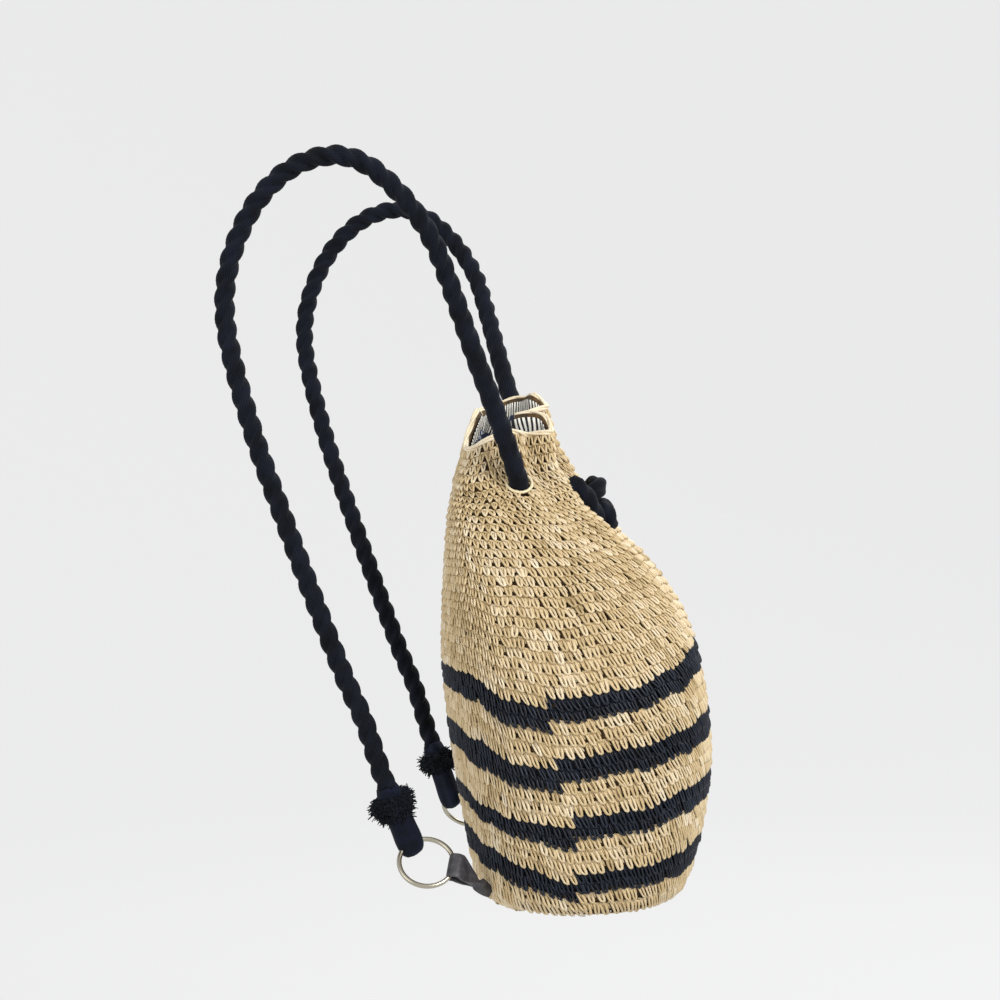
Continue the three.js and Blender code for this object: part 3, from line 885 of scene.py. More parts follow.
NATURAL_STRAW = PaperStraw("paper_straw_natural", 0.5)
NAVY_STRAW = PaperStraw("paper_straw_navy", 0.45, dark="#04070D", middle="#0F1520", light="#252E3D", gloss=0.3)
# Painted shade in the gaps between stitches: brown behind the natural rounds, near black behind the navy ones
GAP_SHADE = GapShadeSheet("paper_straw_shadow", 0.8)
NAVY_GAP_SHADE = GapShadeSheet("paper_straw_navy_shadow", 0.8, shade="#0D1118", deep="#07090E")
COTTON = PrintedCotton("printed_cotton", 0.85)
ROPE_COTTON = CottonRope("cotton_rope_navy", 0.85, dark="#040609", light="#131824")
SLEEVE_COTTON = CottonRope("cotton_sleeve_navy", 0.8, yarns=60.0, yarn_twist=0.0)
PALE_THREAD = PaperStraw("paper_thread_pale", 0.5, dark="#9C865A", middle="#D2C298", light="#F2E8CE")
NICKEL = NickelPlate("nickel_plated_steel", 0.22, metallic=1.0)
LEATHER = StrapLeather("cowhide_charcoal", 0.5)
PAPER = StudioPaper("studio_paper", 0.9)


def dress(piece: bpy.types.Object, material: bpy.types.Material, slot: str | None = None) -> bpy.types.Object:
    """Gives a piece its material and, when a slot is given, its body."""
    piece.data.materials.clear()
    piece.data.materials.append(material)
    if slot is not None:
        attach(piece, BODY)
    log.info("%s: %d triangles", piece.name, sum(len(p.vertices) - 2 for p in piece.data.polygons))
    return piece


# ---------------------------------------------------------------------------
# The crocheted sack
# ---------------------------------------------------------------------------


@dataclass
class Stitch:
    """One single-crochet stitch: a U of straw that hooks over the row below, and its slanting top loop.

    Places are shares of the stitch's width, shares of the row's height, and metres out of the fabric.
    """

    sides: int = 5
    width: float = 0.0069
    row: float = 0.0090
    # Each strand: its radius and its points. The U, the top loop, and what shows between them
    strands: tuple[tuple[float, tuple[tuple[float, float, float], ...]], ...] = (
        (
            0.00108,
            (
                (0.23, 0.94, -0.0012),
                (0.25, 0.58, 0.0),
                (0.26, 0.14, 0.0010),
                (0.33, -0.13, 0.0012),
                (0.50, -0.22, 0.0009),
                (0.67, -0.13, 0.0012),
                (0.74, 0.14, 0.0010),
                (0.75, 0.58, 0.0),
                (0.77, 0.94, -0.0012),
            ),
        ),
        (0.0010, ((-0.05, 0.80, -0.0012), (0.50, 0.87, -0.0005), (1.05, 0.93, -0.0012))),
        (0.00105, ((0.02, 0.90, -0.0011), (0.0, 0.30, -0.0010))),
        (0.00105, ((0.50, 0.92, -0.0010), (0.50, 0.04, -0.0012))),
    )

    def template(self) -> tuple[Array, list[tuple[int, ...]], Array]:
        """The stitch's mesh.

        Returns:
            Its vertices as width share, row share and metres out; its faces; and each vertex's UV.
        """
        size = np.array([self.width, self.row, 1.0])
        points, faces, uvs = [], [], []
        for radius, path in self.strands:
            line = np.array(path) * size
            bm = bent_bar(line, round_section(radius), self.sides, hint=(0, 0, 1))
            start = len(points)
            along = lengths_along(line)
            for i, vert in enumerate(bm.verts):
                points.append(np.array(vert.co) / size)
                uvs.append((along[min(i // self.sides, len(line) - 1)], (i % self.sides) / self.sides))
            bm.verts.index_update()
            faces += [tuple(start + v.index for v in face.verts) for face in bm.faces]
            bm.free()
        return np.array(points), faces, np.array(uvs)


# The gathered stitch near the mouth: the same strands drawn into a V with a hole at either side
GATHERED = Stitch(
    strands=(
        (
            0.00112,
            (
                (0.08, 0.98, -0.0012),
                (0.15, 0.66, 0.0),
                (0.30, 0.24, 0.0010),
                (0.40, 0.0, 0.0012),
                (0.50, -0.09, 0.0007),
                (0.60, 0.0, 0.0012),
                (0.70, 0.24, 0.0010),
                (0.85, 0.66, 0.0),
                (0.92, 0.98, -0.0012),
            ),
        ),
        (0.0010, ((-0.05, 0.86, -0.0012), (0.50, 0.94, 0.0), (1.05, 1.0, -0.0012))),
        (0.00105, ((0.02, 0.96, -0.0011), (0.0, 0.58, -0.0010))),
        (0.00105, ((0.50, 0.92, -0.0012), (0.50, 0.30, -0.0010))),
    )
)


@dataclass
class CrochetedSack:
    """The sack's wall and base: rounds of stitches over a dark sheet of painted shade."""

    form: SackForm
    rope_lines: Sequence[Array]
    stitch: Stitch = field(default_factory=Stitch)
    rounds: int = 47
    seam: float = 93.5  # where the first round starts, degrees round the sack
    seam_lean: float = -0.5  # degrees that each round's start lies further on, up to the shoulder
    lowest: int = -3  # the rounds that the tilted base brings up the back
    navy_rounds: tuple[int, ...] = (2, 3, 7, 8, 12, 13, 17, 18)
    # How far a stitch leans over one row, in shares of its width, by the round's number
    slants: Array = field(
        default_factory=lambda: np.array([(-3, 0.5), (17, 0.5), (24, 0.3), (36, 0.12), (50, 0.08)])
    )
    rope_room: float = 0.0098  # kept free round each rope
    seed: int = 11
    # Angles from the middle of the back to the middle of the front, the same over either side, and the
    # heights above the base of the lines between rounds there
    angles: tuple[float, ...] = (0, 45, 60, 75, 90, 110, 130, 150, 180)
    lines: Array = field(
        default_factory=lambda: MM
        * np.array(
            [
                (-3000, -6, -6, -15, -24, -28, -28, -28, -28, -28),
                (0, 22, 21, 12, 3, 0, 0, 0, 0, 0),
                (4000, 62, 60, 50, 39, 28, 32, 36, 42, 44),
                (9000, 99, 94, 81, 74, 71, 75, 86, 91, 93),
                (14000, 147, 142, 132, 117, 114, 122, 131, 139, 143),
                (19000, 189, 185, 182, 164, 158, 165, 178, 193, 198),
            ]
        )
    )
    sink: float = 0.0008  # how far the stitches' middles lie inside the sack's face
    # Painted shade: the dark sheet that shows through the gaps, its depth inside the sack's face and its thickness
    shade_sheet_depth: float = 0.0034
    shade_sheet_thickness: float = 0.0008
    base_rings: int = 8
    rim_strands: int = 3
    rim_lay: float = 0.055  # length of one turn of the rim's strands round each other
    rim_step: float = 0.0012
    rim_offset: float = 0.0012  # from the rim's middle to a strand's
    rim_strand: float = 0.00125  # a strand's radius
    rim_inset: float = 0.0014
    rim_tone: float = 0.72

    def __post_init__(self) -> None:
        """Works out how the rises of the upper rounds are spread over the wall."""
        self.random = np.random.default_rng(self.seed)
        angles = np.arange(0, 360, 3.0)
        top_line = self.lines[-1, 0]
        shares = np.linspace(0, 1, 41)
        table = []
        for angle in angles:
            low = float(self.line_height(np.array(top_line), np.array(angle))) / self.form.height
            rises = np.linspace(low, 1, 120)
            wall = self.form.point(np.full(120, angle), rises)
            along = lengths_along(wall)
            table.append(np.interp(shares * along[-1], along, rises))
        self.upper_rises = np.array(table + [table[0]])
        self.upper_angles = np.append(angles, 360.0)

    def line_height(self, line: Array, angle: Array) -> Array:
        """The height above the base of a line between the lower rounds."""
        line, angle = np.broadcast_arrays(np.asarray(line, float), np.asarray(angle, float))
        off_back = np.abs(np.mod(angle + 180.0, 360.0) - 180.0)
        at = np.array(self.angles)
        i = np.clip(np.searchsorted(at, off_back) - 1, 0, len(at) - 2)
        share = (1 - np.cos(np.pi * (off_back - at[i]) / (at[i + 1] - at[i]))) / 2
        heights = np.stack([smooth_table(self.lines, 1 + k, line) for k in range(len(at))], axis=-1)
        low = np.take_along_axis(heights, i[..., None], -1)[..., 0]
        high = np.take_along_axis(heights, (i + 1)[..., None], -1)[..., 0]
        return low + (high - low) * share

    def seam_of(self, row: float) -> float:
        """Where a round starts, in degrees round the sack."""
        return self.seam + self.seam_lean * min(max(row, 0.0), float(self.lines[-1, 0]))

    def rise(self, line: Array, angle: Array) -> Array:
        """The rise of a line between rounds, at an angle round the sack."""
        line, angle = np.broadcast_arrays(np.asarray(line, float), np.asarray(angle, float))
        top_line = self.lines[-1, 0]
        lower = self.line_height(np.minimum(line, top_line), angle) / self.form.height
        share = np.clip((line - top_line) / (self.rounds - top_line), 0, 1) * (self.upper_rises.shape[1] - 1)
        column = np.mod(angle, 360.0) / 3.0
        i, j = np.floor(column).astype(int), np.minimum(np.floor(share).astype(int), 39)
        u, v = column - i, share - j
        table = self.upper_rises
        upper = (table[i, j] * (1 - v) + table[i, j + 1] * v) * (1 - u) + (
            table[i + 1, j] * (1 - v) + table[i + 1, j + 1] * v
        ) * u
        return np.where(line > top_line, upper, lower)

    def climb(self, row: float) -> float:
        """How much of a full round a round climbs on its way round: none at the base and the rim."""
        return float(smoothstep(np.array(row), -2.0, 2.0) * (1 - smoothstep(np.array(row), 32.0, 46.0)))

    def pitch(self, row: float) -> float:
        """The width of a stitch: the gathered rounds have narrower ones."""
        return float(self.stitch.width * (1 - 0.2 * smoothstep(np.array(row), 24.0, 42.0)))

    def stitches(self, rows: Sequence[int]) -> tuple[Array, Array]:
        """Places the stitches of some rounds.

        Args:
            rows: the rounds' numbers from the base up.

        Returns:
            The vertices of each stitch, as stitches by vertices by three, and each stitch's tone.
        """
        closed, _, _ = self.stitch.template()
        gathered, _, _ = GATHERED.template()
        placed, tones = [], []
        for row in rows:
            drawn = float(smoothstep(np.array(row), 27.0, 38.0))
            across, upward, out = (closed * (1 - drawn) + gathered * drawn).T
            slant = float(smooth_table(self.slants, 1, np.array(float(row))))
            climb = self.climb(row)
            seam = self.seam_of(row)
            turns = np.linspace(-0.06, 1.06, 1200)
            angles = seam - 360 * turns
            wall = self.form.point(angles, self.rise(row + 0.5 + turns * climb, angles))
            along = lengths_along(wall)
            start, end = np.interp([0, 1], turns, along)
            count = round((end - start) / self.pitch(row))
            odd = row % 2
            i = np.arange(count + odd)[:, None] - 0.5 * odd
            shift = self.random.normal(0, 0.06, i.shape)
            lift = self.random.normal(0, 0.045, i.shape)
            lean = slant + self.random.normal(0, 0.12, i.shape)
            swell = 1 + self.random.normal(0, 0.10, i.shape)
            u = (across - 0.5) * swell + 0.5 + shift + lean * (upward - 0.4)
            v = upward + lift
            turn = np.interp(start + (i + u) * (end - start) / count, along, turns)
            angle = seam - 360 * turn
            line = row + v + turn * climb
            rise = self.rise(line, angle)
            depth = out * (1 + self.random.normal(0, 0.14, i.shape)) - self.sink
            depth = depth + self.random.normal(0, 0.0002, i.shape)
            normal = self.form.normal(angle, rise)
            point = self.form.point(angle, rise)
            point = point + normal * depth[..., None]
            middle = point.mean(axis=1)
            keep = self.clear_of_ropes(middle) & (middle[:, 2] > -self.form.hang)
            point[..., 2] = np.maximum(point[..., 2], -self.form.hang - 0.0005)
            placed.append(point[keep])
            tones.append(np.clip(self.random.normal(0.5, 0.08, len(i)), 0, 1)[keep])
        return np.concatenate(placed), np.concatenate(tones)

    def clear_of_ropes(self, points: Array) -> Array:
        """Which points keep their distance from every rope."""
        keep = np.ones(len(points), bool)
        for line in self.rope_lines:
            away = np.linalg.norm(points[:, None] - line[None], axis=2).min(axis=1)
            keep &= away > self.rope_room
        return keep

    def base_stitches(self) -> tuple[Array, Array]:
        """Places the stitches of the flat base, in ovals round its middle.

        Returns:
            As stitches() does.
        """
        template, _, _ = self.stitch.template()
        across, upward, out = template.T
        middle = self.form.base_middle()
        placed, tones = [], []
        for ring in range(self.base_rings):
            share = 1 - (ring + 0.5) / self.base_rings
            turns = np.linspace(-0.2, 1.2, 900)
            angles = self.seam - 360 * turns
            edge = self.form.point(angles, np.zeros(900))
            wall = middle + (edge - middle) * share
            along = lengths_along(wall)
            start, end = np.interp([0, 1], turns, along)
            count = max(6, round((end - start) / self.stitch.width))
            i = np.arange(count)[:, None] + 0.5 * (ring % 2)
            u = across + 0.3 * (upward - 0.4) + self.random.normal(0, 0.05, (count, 1))
            turn = np.interp(start + (i + u) * (end - start) / count, along, turns)
            edge = self.form.point(self.seam - 360 * turn, np.zeros(turn.shape))
            # The rows of the base are worked outward, so a stitch's foot points to the middle
            near = np.clip(1 - (ring + 1 - upward) / self.base_rings, 0.004, 1.0)
            point = middle + (edge - middle) * near[None, :, None]
            depth = out * (1 + self.random.normal(0, 0.14, (count, 1)))
            point[..., 2] = -self.form.hang - depth * 0.7 + 0.0006
            placed.append(point)
            tones.append(np.clip(self.random.normal(0.45, 0.08, count), 0, 1))
        return np.concatenate(placed), np.concatenate(tones)

    def copies(self, name: str, placed: Array, tones: Array) -> bpy.types.Object:
        """One piece of many stitches.

        Args:
            name: the piece's name.
            placed: the vertices of each stitch.
            tones: each stitch's tone from 0, dark, to 1, light.

        Returns:
            The piece, with a UV map along the strands and a tone attribute.
        """
        _, faces, uvs = self.stitch.template()
        count, size = placed.shape[:2]
        # A stitch runs the other way round the sack than its template, so its faces are turned round
        order = [face[::-1] for face in faces]
        lengths = np.array([len(face) for face in order])
        corners = np.concatenate([np.array(face) for face in order])
        loops = (corners[None] + size * np.arange(count)[:, None]).ravel()
        starts = np.concatenate([[0], np.cumsum(np.tile(lengths, count))[:-1]])
        mesh = bpy.data.meshes.new(name)
        mesh.vertices.add(count * size)
        mesh.vertices.foreach_set("co", placed.astype(np.float32).ravel())
        mesh.loops.add(len(loops))
        mesh.loops.foreach_set("vertex_index", loops.astype(np.int32))
        mesh.polygons.add(len(starts))
        mesh.polygons.foreach_set("loop_start", starts.astype(np.int32))
        mesh.update(calc_edges=True)
        mesh.validate()
        set_tones(mesh, np.repeat(tones, size))
        layer = mesh.uv_layers.new(name="strand")
        offset = self.random.uniform(0, 3, (count, 1))
        turns = np.broadcast_to(uvs[None, :, 1], (count, size))
        place = np.stack([uvs[None, :, 0] + offset, turns], axis=-1)
        layer.data.foreach_set("uv", place.reshape(-1, 2)[loops].astype(np.float32).ravel())
        return link(name, mesh)

    def rounds_of(self, name: str, rows: Sequence[int], finish: PaperStraw) -> bpy.types.Object:
        """The piece of some of the wall's rounds."""
        return dress(self.copies(name, *self.stitches(rows)), finish.material(), "straw")

    def shade_sheet(self) -> bpy.types.Object:
        """The dark sheet of painted shade behind the stitches, in place of the plain solid sack."""
        bm, around, up = unrolled_sheet(180, 70)
        angle, rise = around * 360, up**0.9
        # A dark sheet of painted shade, just inside the sack's face, that fills the gaps between stitches
        point = self.form.point(angle, rise) - self.form.normal(angle, rise) * self.shade_sheet_depth
        point[:, 2] = np.maximum(point[:, 2], self.shade_sheet_depth * 0.6 - self.form.hang)
        bend_sheet(bm, point, -self.form.hang * 0.9, self.rope_lines, self.rope_room * 0.8)
        piece = from_bmesh("straw_shade_sheet", bm)
        thicken(piece, self.shade_sheet_thickness)
        dress(piece, GAP_SHADE.material(), "straw")
        piece.data.materials.append(NAVY_GAP_SHADE.material())
        self.paint_shade_sheet(piece)
        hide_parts("straw_body")
        return piece

    def paint_shade_sheet(self, piece: bpy.types.Object) -> None:
        """Gives the shade sheet's faces behind the navy rounds the navy material, a near black painted shade."""
        centres = np.array([polygon.center for polygon in piece.data.polygons])
        heights = centres[:, 2] + self.form.hang
        middle = self.form.base_middle()
        angles = np.degrees(np.arctan2(-centres[:, 0], centres[:, 1] - middle[1]))
        numbers = np.zeros(len(centres), int)
        for row in self.navy_rounds:
            climb = self.climb(row)
            turns = np.mod(self.seam_of(row) - angles, 360.0) / 360.0
            low = self.rise(row + turns * climb, angles) * self.form.height
            high = self.rise(row + 1 + turns * climb, angles) * self.form.height
            numbers[(heights > low) & (heights < high) & (heights > 0.003)] = 1
        piece.data.polygons.foreach_set("material_index", numbers)

    def rim(self) -> bpy.types.Object:
        """The last round's edge: three strands of straw that lie round each other along the mouth."""
        angles = np.linspace(0, 360, 360, endpoint=False)
        rise = np.full(len(angles), 1.0)
        edge = self.form.point(angles, rise) - self.form.normal(angles, rise) * self.rim_inset
        line = through(edge[::2], self.rim_step, closed=True)
        first, second = carried_frames(line, (0, 0, 1), closed=True)
        twists = round(len(line) * self.rim_step / self.rim_lay)
        parts = []
        for strand in range(self.rim_strands):
            turn = 2 * np.pi * (twists * np.arange(len(line)) / len(line) + strand / self.rim_strands)
            away = first * np.cos(turn)[:, None] * self.rim_offset + second * np.sin(turn)[:, None] * self.rim_offset
            parts.append(bent_bar(line + away, round_section(self.rim_strand), 6, closed=True))
        piece = merged("mouth_rim", parts)
        set_tones(piece.data, np.full(len(piece.data.vertices), self.rim_tone))
        return dress(piece, NATURAL_STRAW.material(), "straw")

    def build(self) -> None:
        """Builds every piece of the sack."""
        # The dark sheet of painted shade behind the stitches
        self.shade_sheet()
        natural = [row for row in range(self.lowest, 19) if row not in self.navy_rounds]
        for name, rows, finish in (
            ("stripe_rounds_low", natural[:8], NATURAL_STRAW),
            ("stripe_rounds_high", natural[8:], NATURAL_STRAW),
            ("stripe_rounds_navy", self.navy_rounds, NAVY_STRAW),
            ("shoulder_rounds_low", range(19, 26), NATURAL_STRAW),
            ("shoulder_rounds_high", range(26, 33), NATURAL_STRAW),
            ("mouth_rounds_low", range(33, 40), NATURAL_STRAW),
            ("mouth_rounds_high", range(40, self.rounds), NATURAL_STRAW),
        ):
            self.rounds_of(name, rows, finish)
        self.rim()
        dress(self.copies("base_rounds", *self.base_stitches()), NATURAL_STRAW.material(), "straw")


@dataclass
class Lining:
    """The printed cloth inside the sack, a little slack between its folds."""

    form: SackForm
    rope_lines: Sequence[Array]
    depth: float = 0.0048
    top: float = 0.992
    thickness: float = 0.0005
    slack: float = 0.0011
    cut_width: float = 0.81
    cut_length: float = 0.40
    base_area: float = 0.032
    lowest: float = 0.012  # the rise at which its wall starts
    rope_room: float = 0.0085

    def build(self) -> None:
        """Builds the cloth, with its print on a UV map in metres."""
        bm, around, up = unrolled_sheet(220, 80)
        angle, rise = around * 360, self.lowest + (self.top - self.lowest) * up
        ripple = np.sin(np.radians(angle) * 23 + 9 * rise) + 0.6 * np.sin(np.radians(angle) * 37 - 14 * rise)
        gathered = smoothstep(rise, 0.5, 0.9) * (1 - smoothstep(rise, 0.96, 1.0))
        deep = self.depth + self.slack * (1 + 0.6 * ripple * gathered)
        point = self.form.point(angle, rise) - self.form.normal(angle, rise) * deep[:, None]
        point[:, 2] = np.maximum(point[:, 2], self.depth - self.form.hang)
        uv = bm.loops.layers.uv.new("cloth")
        cut = {vert: (a / 360 * self.cut_width, r * self.cut_length) for vert, a, r in zip(bm.verts, angle, rise)}
        for face in bm.faces:
            for loop in face.loops:
                loop[uv].uv = cut[loop.vert]
        bend_sheet(bm, point, -self.form.hang * 0.9, self.rope_lines, self.rope_room)
        piece = from_bmesh("printed_lining", bm)
        thicken(piece, self.thickness)
        dress(piece, COTTON.material(), "printed_cotton")
        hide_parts("lining")


# ---------------------------------------------------------------------------
# The ropes and their ends
# ---------------------------------------------------------------------------


@dataclass
class LaidRope:
    """Three strands laid round each other to the right, as one swept surface."""

    diameter: float = 0.016
    strand_radius: float = 0.0042
    lay: float = 0.045  # length of one full turn
    sides: int = 30
    step: float = 0.0025

    def section(self, line: Array, soften: float | Array) -> Callable[[Array, Array], tuple[Array, Array]]:
        """The rope's outline as it turns along a line.

        Args:
            line: the rope's middle.
            soften: from 0, deep grooves, to 1, a plain round, for the whole line or for each point.

        Returns:
            A section for bent_bar.
        """
        along = lengths_along(line)
        radius = self.diameter / 2
        offset = radius - self.strand_radius
        plain = np.broadcast_to(soften, len(line))

        def offsets(turn: Array, ring: Array) -> tuple[Array, Array]:
            """The offsets of each corner across the line."""
            phase = 2 * np.pi * along[ring] / self.lay
            apart = (turn - phase + np.pi / 3) % (2 * np.pi / 3) - np.pi / 3
            reach = offset * np.cos(apart) + np.sqrt(self.strand_radius**2 - (offset * np.sin(apart)) ** 2)
            reach = reach * (1 - plain[ring]) + radius * plain[ring]
            return reach * np.cos(turn), reach * np.sin(turn)

        return offsets

    def build(self, name: str, line: Array, soften: Array) -> bpy.types.Object:
        """One piece of rope along a line."""
        bm = bent_bar(line, self.section(line, soften), self.sides, hint=(1, 0, 0))
        return dress(from_bmesh(name, bm), ROPE_COTTON.material(), "navy_rope")


@dataclass
class StrapHardware:
    """What hangs on the lower end of one strap: the rope's folded end, its tuft, the ring and the tab."""

    form: SackForm
    side: Side
    ring_outer: float = 0.045
    ring_wire: float = 0.0038
    ring_hang: tuple[float, float, float] = (0.016, -0.472, -0.881)
    ring_facing: tuple[float, float, float] = (-0.72, -0.18, 0.67)
    sleeve_width: float = 0.021
    sleeve_thick: float = 0.013
    sleeve_length: float = 0.043
    tuft_level: float = 0.76  # share of the folded end's length
    tuft_size: tuple[float, float, float] = (0.0155, 0.0115, 0.0105)  # half its width, thickness and length
    tuft_tips: int = 900
    tuft_lumps: tuple[float, ...] = (3.0, 3.4, 5.0, 6.1, 9.0, 10.3, 14.0)  # waves over the collar
    tuft_swell: float = 0.30  # how much the lumps stand out, as a share of its size
    tip_reach: tuple[float, float] = (0.0018, 0.0048)
    tip_thickness: tuple[float, float] = (0.0004, 0.0008)
    tab_width: float = 0.022
    leather: float = 0.0022
    tab_seat_angle: float = 58.0
    tab_seat_rise: float = 0.03
    gap: float = 0.0003
    # share of the way from the sack to the ring, share of the tab's width
    tab_widths: Array = field(
        default_factory=lambda: np.array(
            [(0, 0.34), (0.12, 0.46), (0.3, 0.52), (0.5, 0.46), (0.7, 0.72), (0.9, 0.95), (1.2, 0.97)]
        )
    )
    # share of the way from the sack to the ring, layers of leather drawn together there
    tab_layers: Array = field(
        default_factory=lambda: np.array(
            [(0, 1.2), (0.15, 1.5), (0.32, 2.4), (0.5, 2.6), (0.64, 1.7), (0.8, 1.0), (1.2, 1.0)]
        )
    )

    def __post_init__(self) -> None:
        """Works out where the pieces meet, on the left side."""
        self.ring_radius = (self.ring_outer - self.ring_wire) / 2
        self.start = np.array(STRAP_ROUTE_MM[0]) * MM
        hang = unit(np.array(self.ring_hang))
        self.ring_middle = self.start + hang * (self.sleeve_length + self.ring_radius)
        self.facing = unit(np.array(self.ring_facing))
        to_rope = self.start - self.ring_middle
        to_rope = unit(to_rope - self.facing * to_rope.dot(self.facing))
        self.hook = self.ring_middle + to_rope * self.ring_radius
        self.run = unit(self.start - self.hook)
        self.wide = unit(np.cross(self.facing, self.run))
        self.thick = np.cross(self.run, self.wide)

    def put(self, bm: bmesh.types.BMesh) -> bmesh.types.BMesh:
        """Mirrors a bmesh of the left side if this is the right one."""
        if self.side is Side.RIGHT:
            bmesh.ops.scale(bm, vec=(-1, 1, 1), verts=bm.verts[:])
            bmesh.ops.reverse_faces(bm, faces=bm.faces[:])
        return bm

    def ring(self) -> bpy.types.Object:
        """The wire ring, spun round its axis."""
        bm = bmesh.new()
        bmesh.ops.create_circle(bm, segments=16, radius=self.ring_wire / 2)
        upright = Matrix.Rotation(math.radians(90), 3, "X")
        bmesh.ops.rotate(bm, verts=bm.verts[:], cent=(0, 0, 0), matrix=upright)
        bmesh.ops.translate(bm, verts=bm.verts[:], vec=(self.ring_radius, 0, 0))
        spin_round(bm, 96)
        turn = Vector((0, 0, 1)).rotation_difference(Vector(self.facing)).to_matrix()
        bmesh.ops.rotate(bm, verts=bm.verts[:], cent=(0, 0, 0), matrix=turn)
        bmesh.ops.translate(bm, verts=bm.verts[:], vec=Vector(self.ring_middle))
        outward(bm)
        piece = from_bmesh(f"wire_ring_{self.side.word}", self.put(bm))
        dress(piece, NICKEL.material(), "ring_metal")
        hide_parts(f"ring_{self.side.word}")
        return piece

    def sleeve(self) -> bpy.types.Object:
        """The smooth folded end of the rope, with a soft crease down each flat side."""
        rows = np.array(
            [
                (-0.235, 0.20, 0.20),
                (-0.225, 0.42, 0.42),
                (-0.195, 0.68, 0.66),
                (-0.13, 0.88, 0.86),
                (-0.04, 0.98, 0.97),
                (0.1, 1.02, 1.0),
                (0.3, 0.98, 0.98),
                (0.5, 0.96, 1.0),
                (0.7, 0.95, 1.06),
                (0.85, 0.95, 1.12),
                (1.0, 0.9, 1.15),
                (1.12, 0.75, 1.05),
            ]
        )
        at = np.linspace(rows[0, 0], rows[-1, 0], 40)
        width = smooth_table(rows, 1, at) * self.sleeve_width / 2
        thick = smooth_table(rows, 2, at) * self.sleeve_thick / 2
        line = self.hook + self.run * (at * self.sleeve_length)[:, None]
        frames = (np.tile(self.wide, (len(at), 1)), np.tile(self.thick, (len(at), 1)))

        def offsets(turn: Array, ring: Array) -> tuple[Array, Array]:
            """A rounded oblong with a shallow crease along the middle of its flat sides."""
            c, s = np.cos(turn), np.sin(turn)
            crease = 1 - 0.16 * np.exp(-((c / 0.2) ** 2))
            a = np.sign(c) * np.abs(c) ** 0.72 * width[ring]
            b = np.sign(s) * np.abs(s) ** 0.8 * thick[ring] * crease
            return a, b

        bm = bent_bar(line, offsets, 32, frames=frames)
        piece = from_bmesh(f"rope_sleeve_{self.side.word}", self.put(bm))
        dress(piece, SLEEVE_COTTON.material(), "navy_rope")
        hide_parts(f"rope_end_{self.side.word}")
        return piece

    def tuft(self) -> bpy.types.Object:
        """The frayed collar round the top of the folded end: a matted lump, and yarn tips all over it."""
        random = np.random.default_rng(5 if self.side is Side.LEFT else 6)
        bm = bmesh.new()
        bmesh.ops.create_icosphere(bm, subdivisions=5, radius=1.0)
        away = unit(np.array([vert.co for vert in bm.verts]))
        lumps = np.zeros(len(away))
        for size in self.tuft_lumps:
            wave = unit(random.normal(0, 1, 3)) * size
            lumps += np.sin(away @ wave + random.uniform(0, 2 * np.pi)) * 0.55 / size**0.7
        axes = np.stack([self.wide, self.thick, self.run]) * np.array(self.tuft_size)[:, None]
        middle = self.hook + self.run * (self.tuft_level * self.sleeve_length)
        skin = middle + (away * (1 + self.tuft_swell * lumps)[:, None]) @ axes
        for vert, place in zip(bm.verts, skin):
            vert.co = place
        parts = [bm]
        share = np.linspace(0, 1, 4)[:, None]
        for k in random.integers(0, len(away), self.tuft_tips):
            aim = unit(away[k] @ axes / np.linalg.norm(axes, axis=1).mean() + random.normal(0, 0.35, 3))
            curl = random.normal(0, 0.4, 3) - self.run * 0.35
            reach = random.uniform(*self.tip_reach)
            root = middle + (skin[k] - middle) * 0.93
            line = root + aim * share * reach + curl * share**2 * reach * 0.6
            thickness = random.uniform(*self.tip_thickness)
            parts.append(bent_bar(line, round_section(thickness * np.linspace(1, 0.6, 4)), 4, hint=self.run))
        piece = merged(f"frayed_yarns_{self.side.word}", [self.put(part) for part in parts])
        return dress(piece, ROPE_COTTON.material(), "navy_rope")

    def tab(self) -> bpy.types.Object:
        """The leather tab: folded round the ring, drawn together and sewn under the sack's corner stitches."""
        place = np.array(self.tab_seat_angle), np.array(self.tab_seat_rise)
        seat = self.form.point(*place) + self.form.normal(*place) * (self.gap + self.leather)
        to_sack = seat - self.ring_middle
        to_sack = unit(to_sack - self.facing * to_sack.dot(self.facing))
        hook = self.ring_middle + to_sack * self.ring_radius
        across = unit(np.cross(self.facing, to_sack))
        over = self.facing
        bend = self.ring_wire / 2 + self.gap + self.leather / 2
        # Outer layer from the sack to the ring, round the wire, and back to where the layers are sewn together
        outer = ((1.0, 0.0), (0.86, 0.0006), (0.7, 0.0012), (0.54, 0.0022))
        path = [hook + (seat - hook) * t + over * lift for t, lift in outer]
        path += [hook + to_sack * 0.0045 + over * bend]
        for turn in np.radians([90, 50, 10, -30, -70, -110]):
            path.append(hook - to_sack * bend * math.cos(turn) + over * bend * math.sin(turn))
        path += [hook + (seat - hook) * t - over * 0.0028 for t in (0.3, 0.42, 0.52)]
        line = through(np.array(path), 0.0011)
        share = np.linspace(0, 1, len(line))
        down = np.array([0, 0, -1.0])  # how the sewn end lies
        near = np.clip(np.linalg.norm(line - seat, axis=1) / np.linalg.norm(hook - seat), 0, 1)
        tangents = unit(np.gradient(line, axis=0))
        twist = smoothstep(near, 0.1, 0.75)[:, None]
        wide = across * twist + down * (1 - twist) * 0.8
        wide = unit(wide - tangents * (wide * tangents).sum(axis=1, keepdims=True))
        flat = np.cross(tangents, wide)
        under = share > 0.5
        half_width = self.tab_width / 2 * smooth_table(self.tab_widths, 1, near) * np.where(under, 0.95, 1.0)
        half_thick = self.leather / 2 * np.where(under, 1.0, smooth_table(self.tab_layers, 1, near))

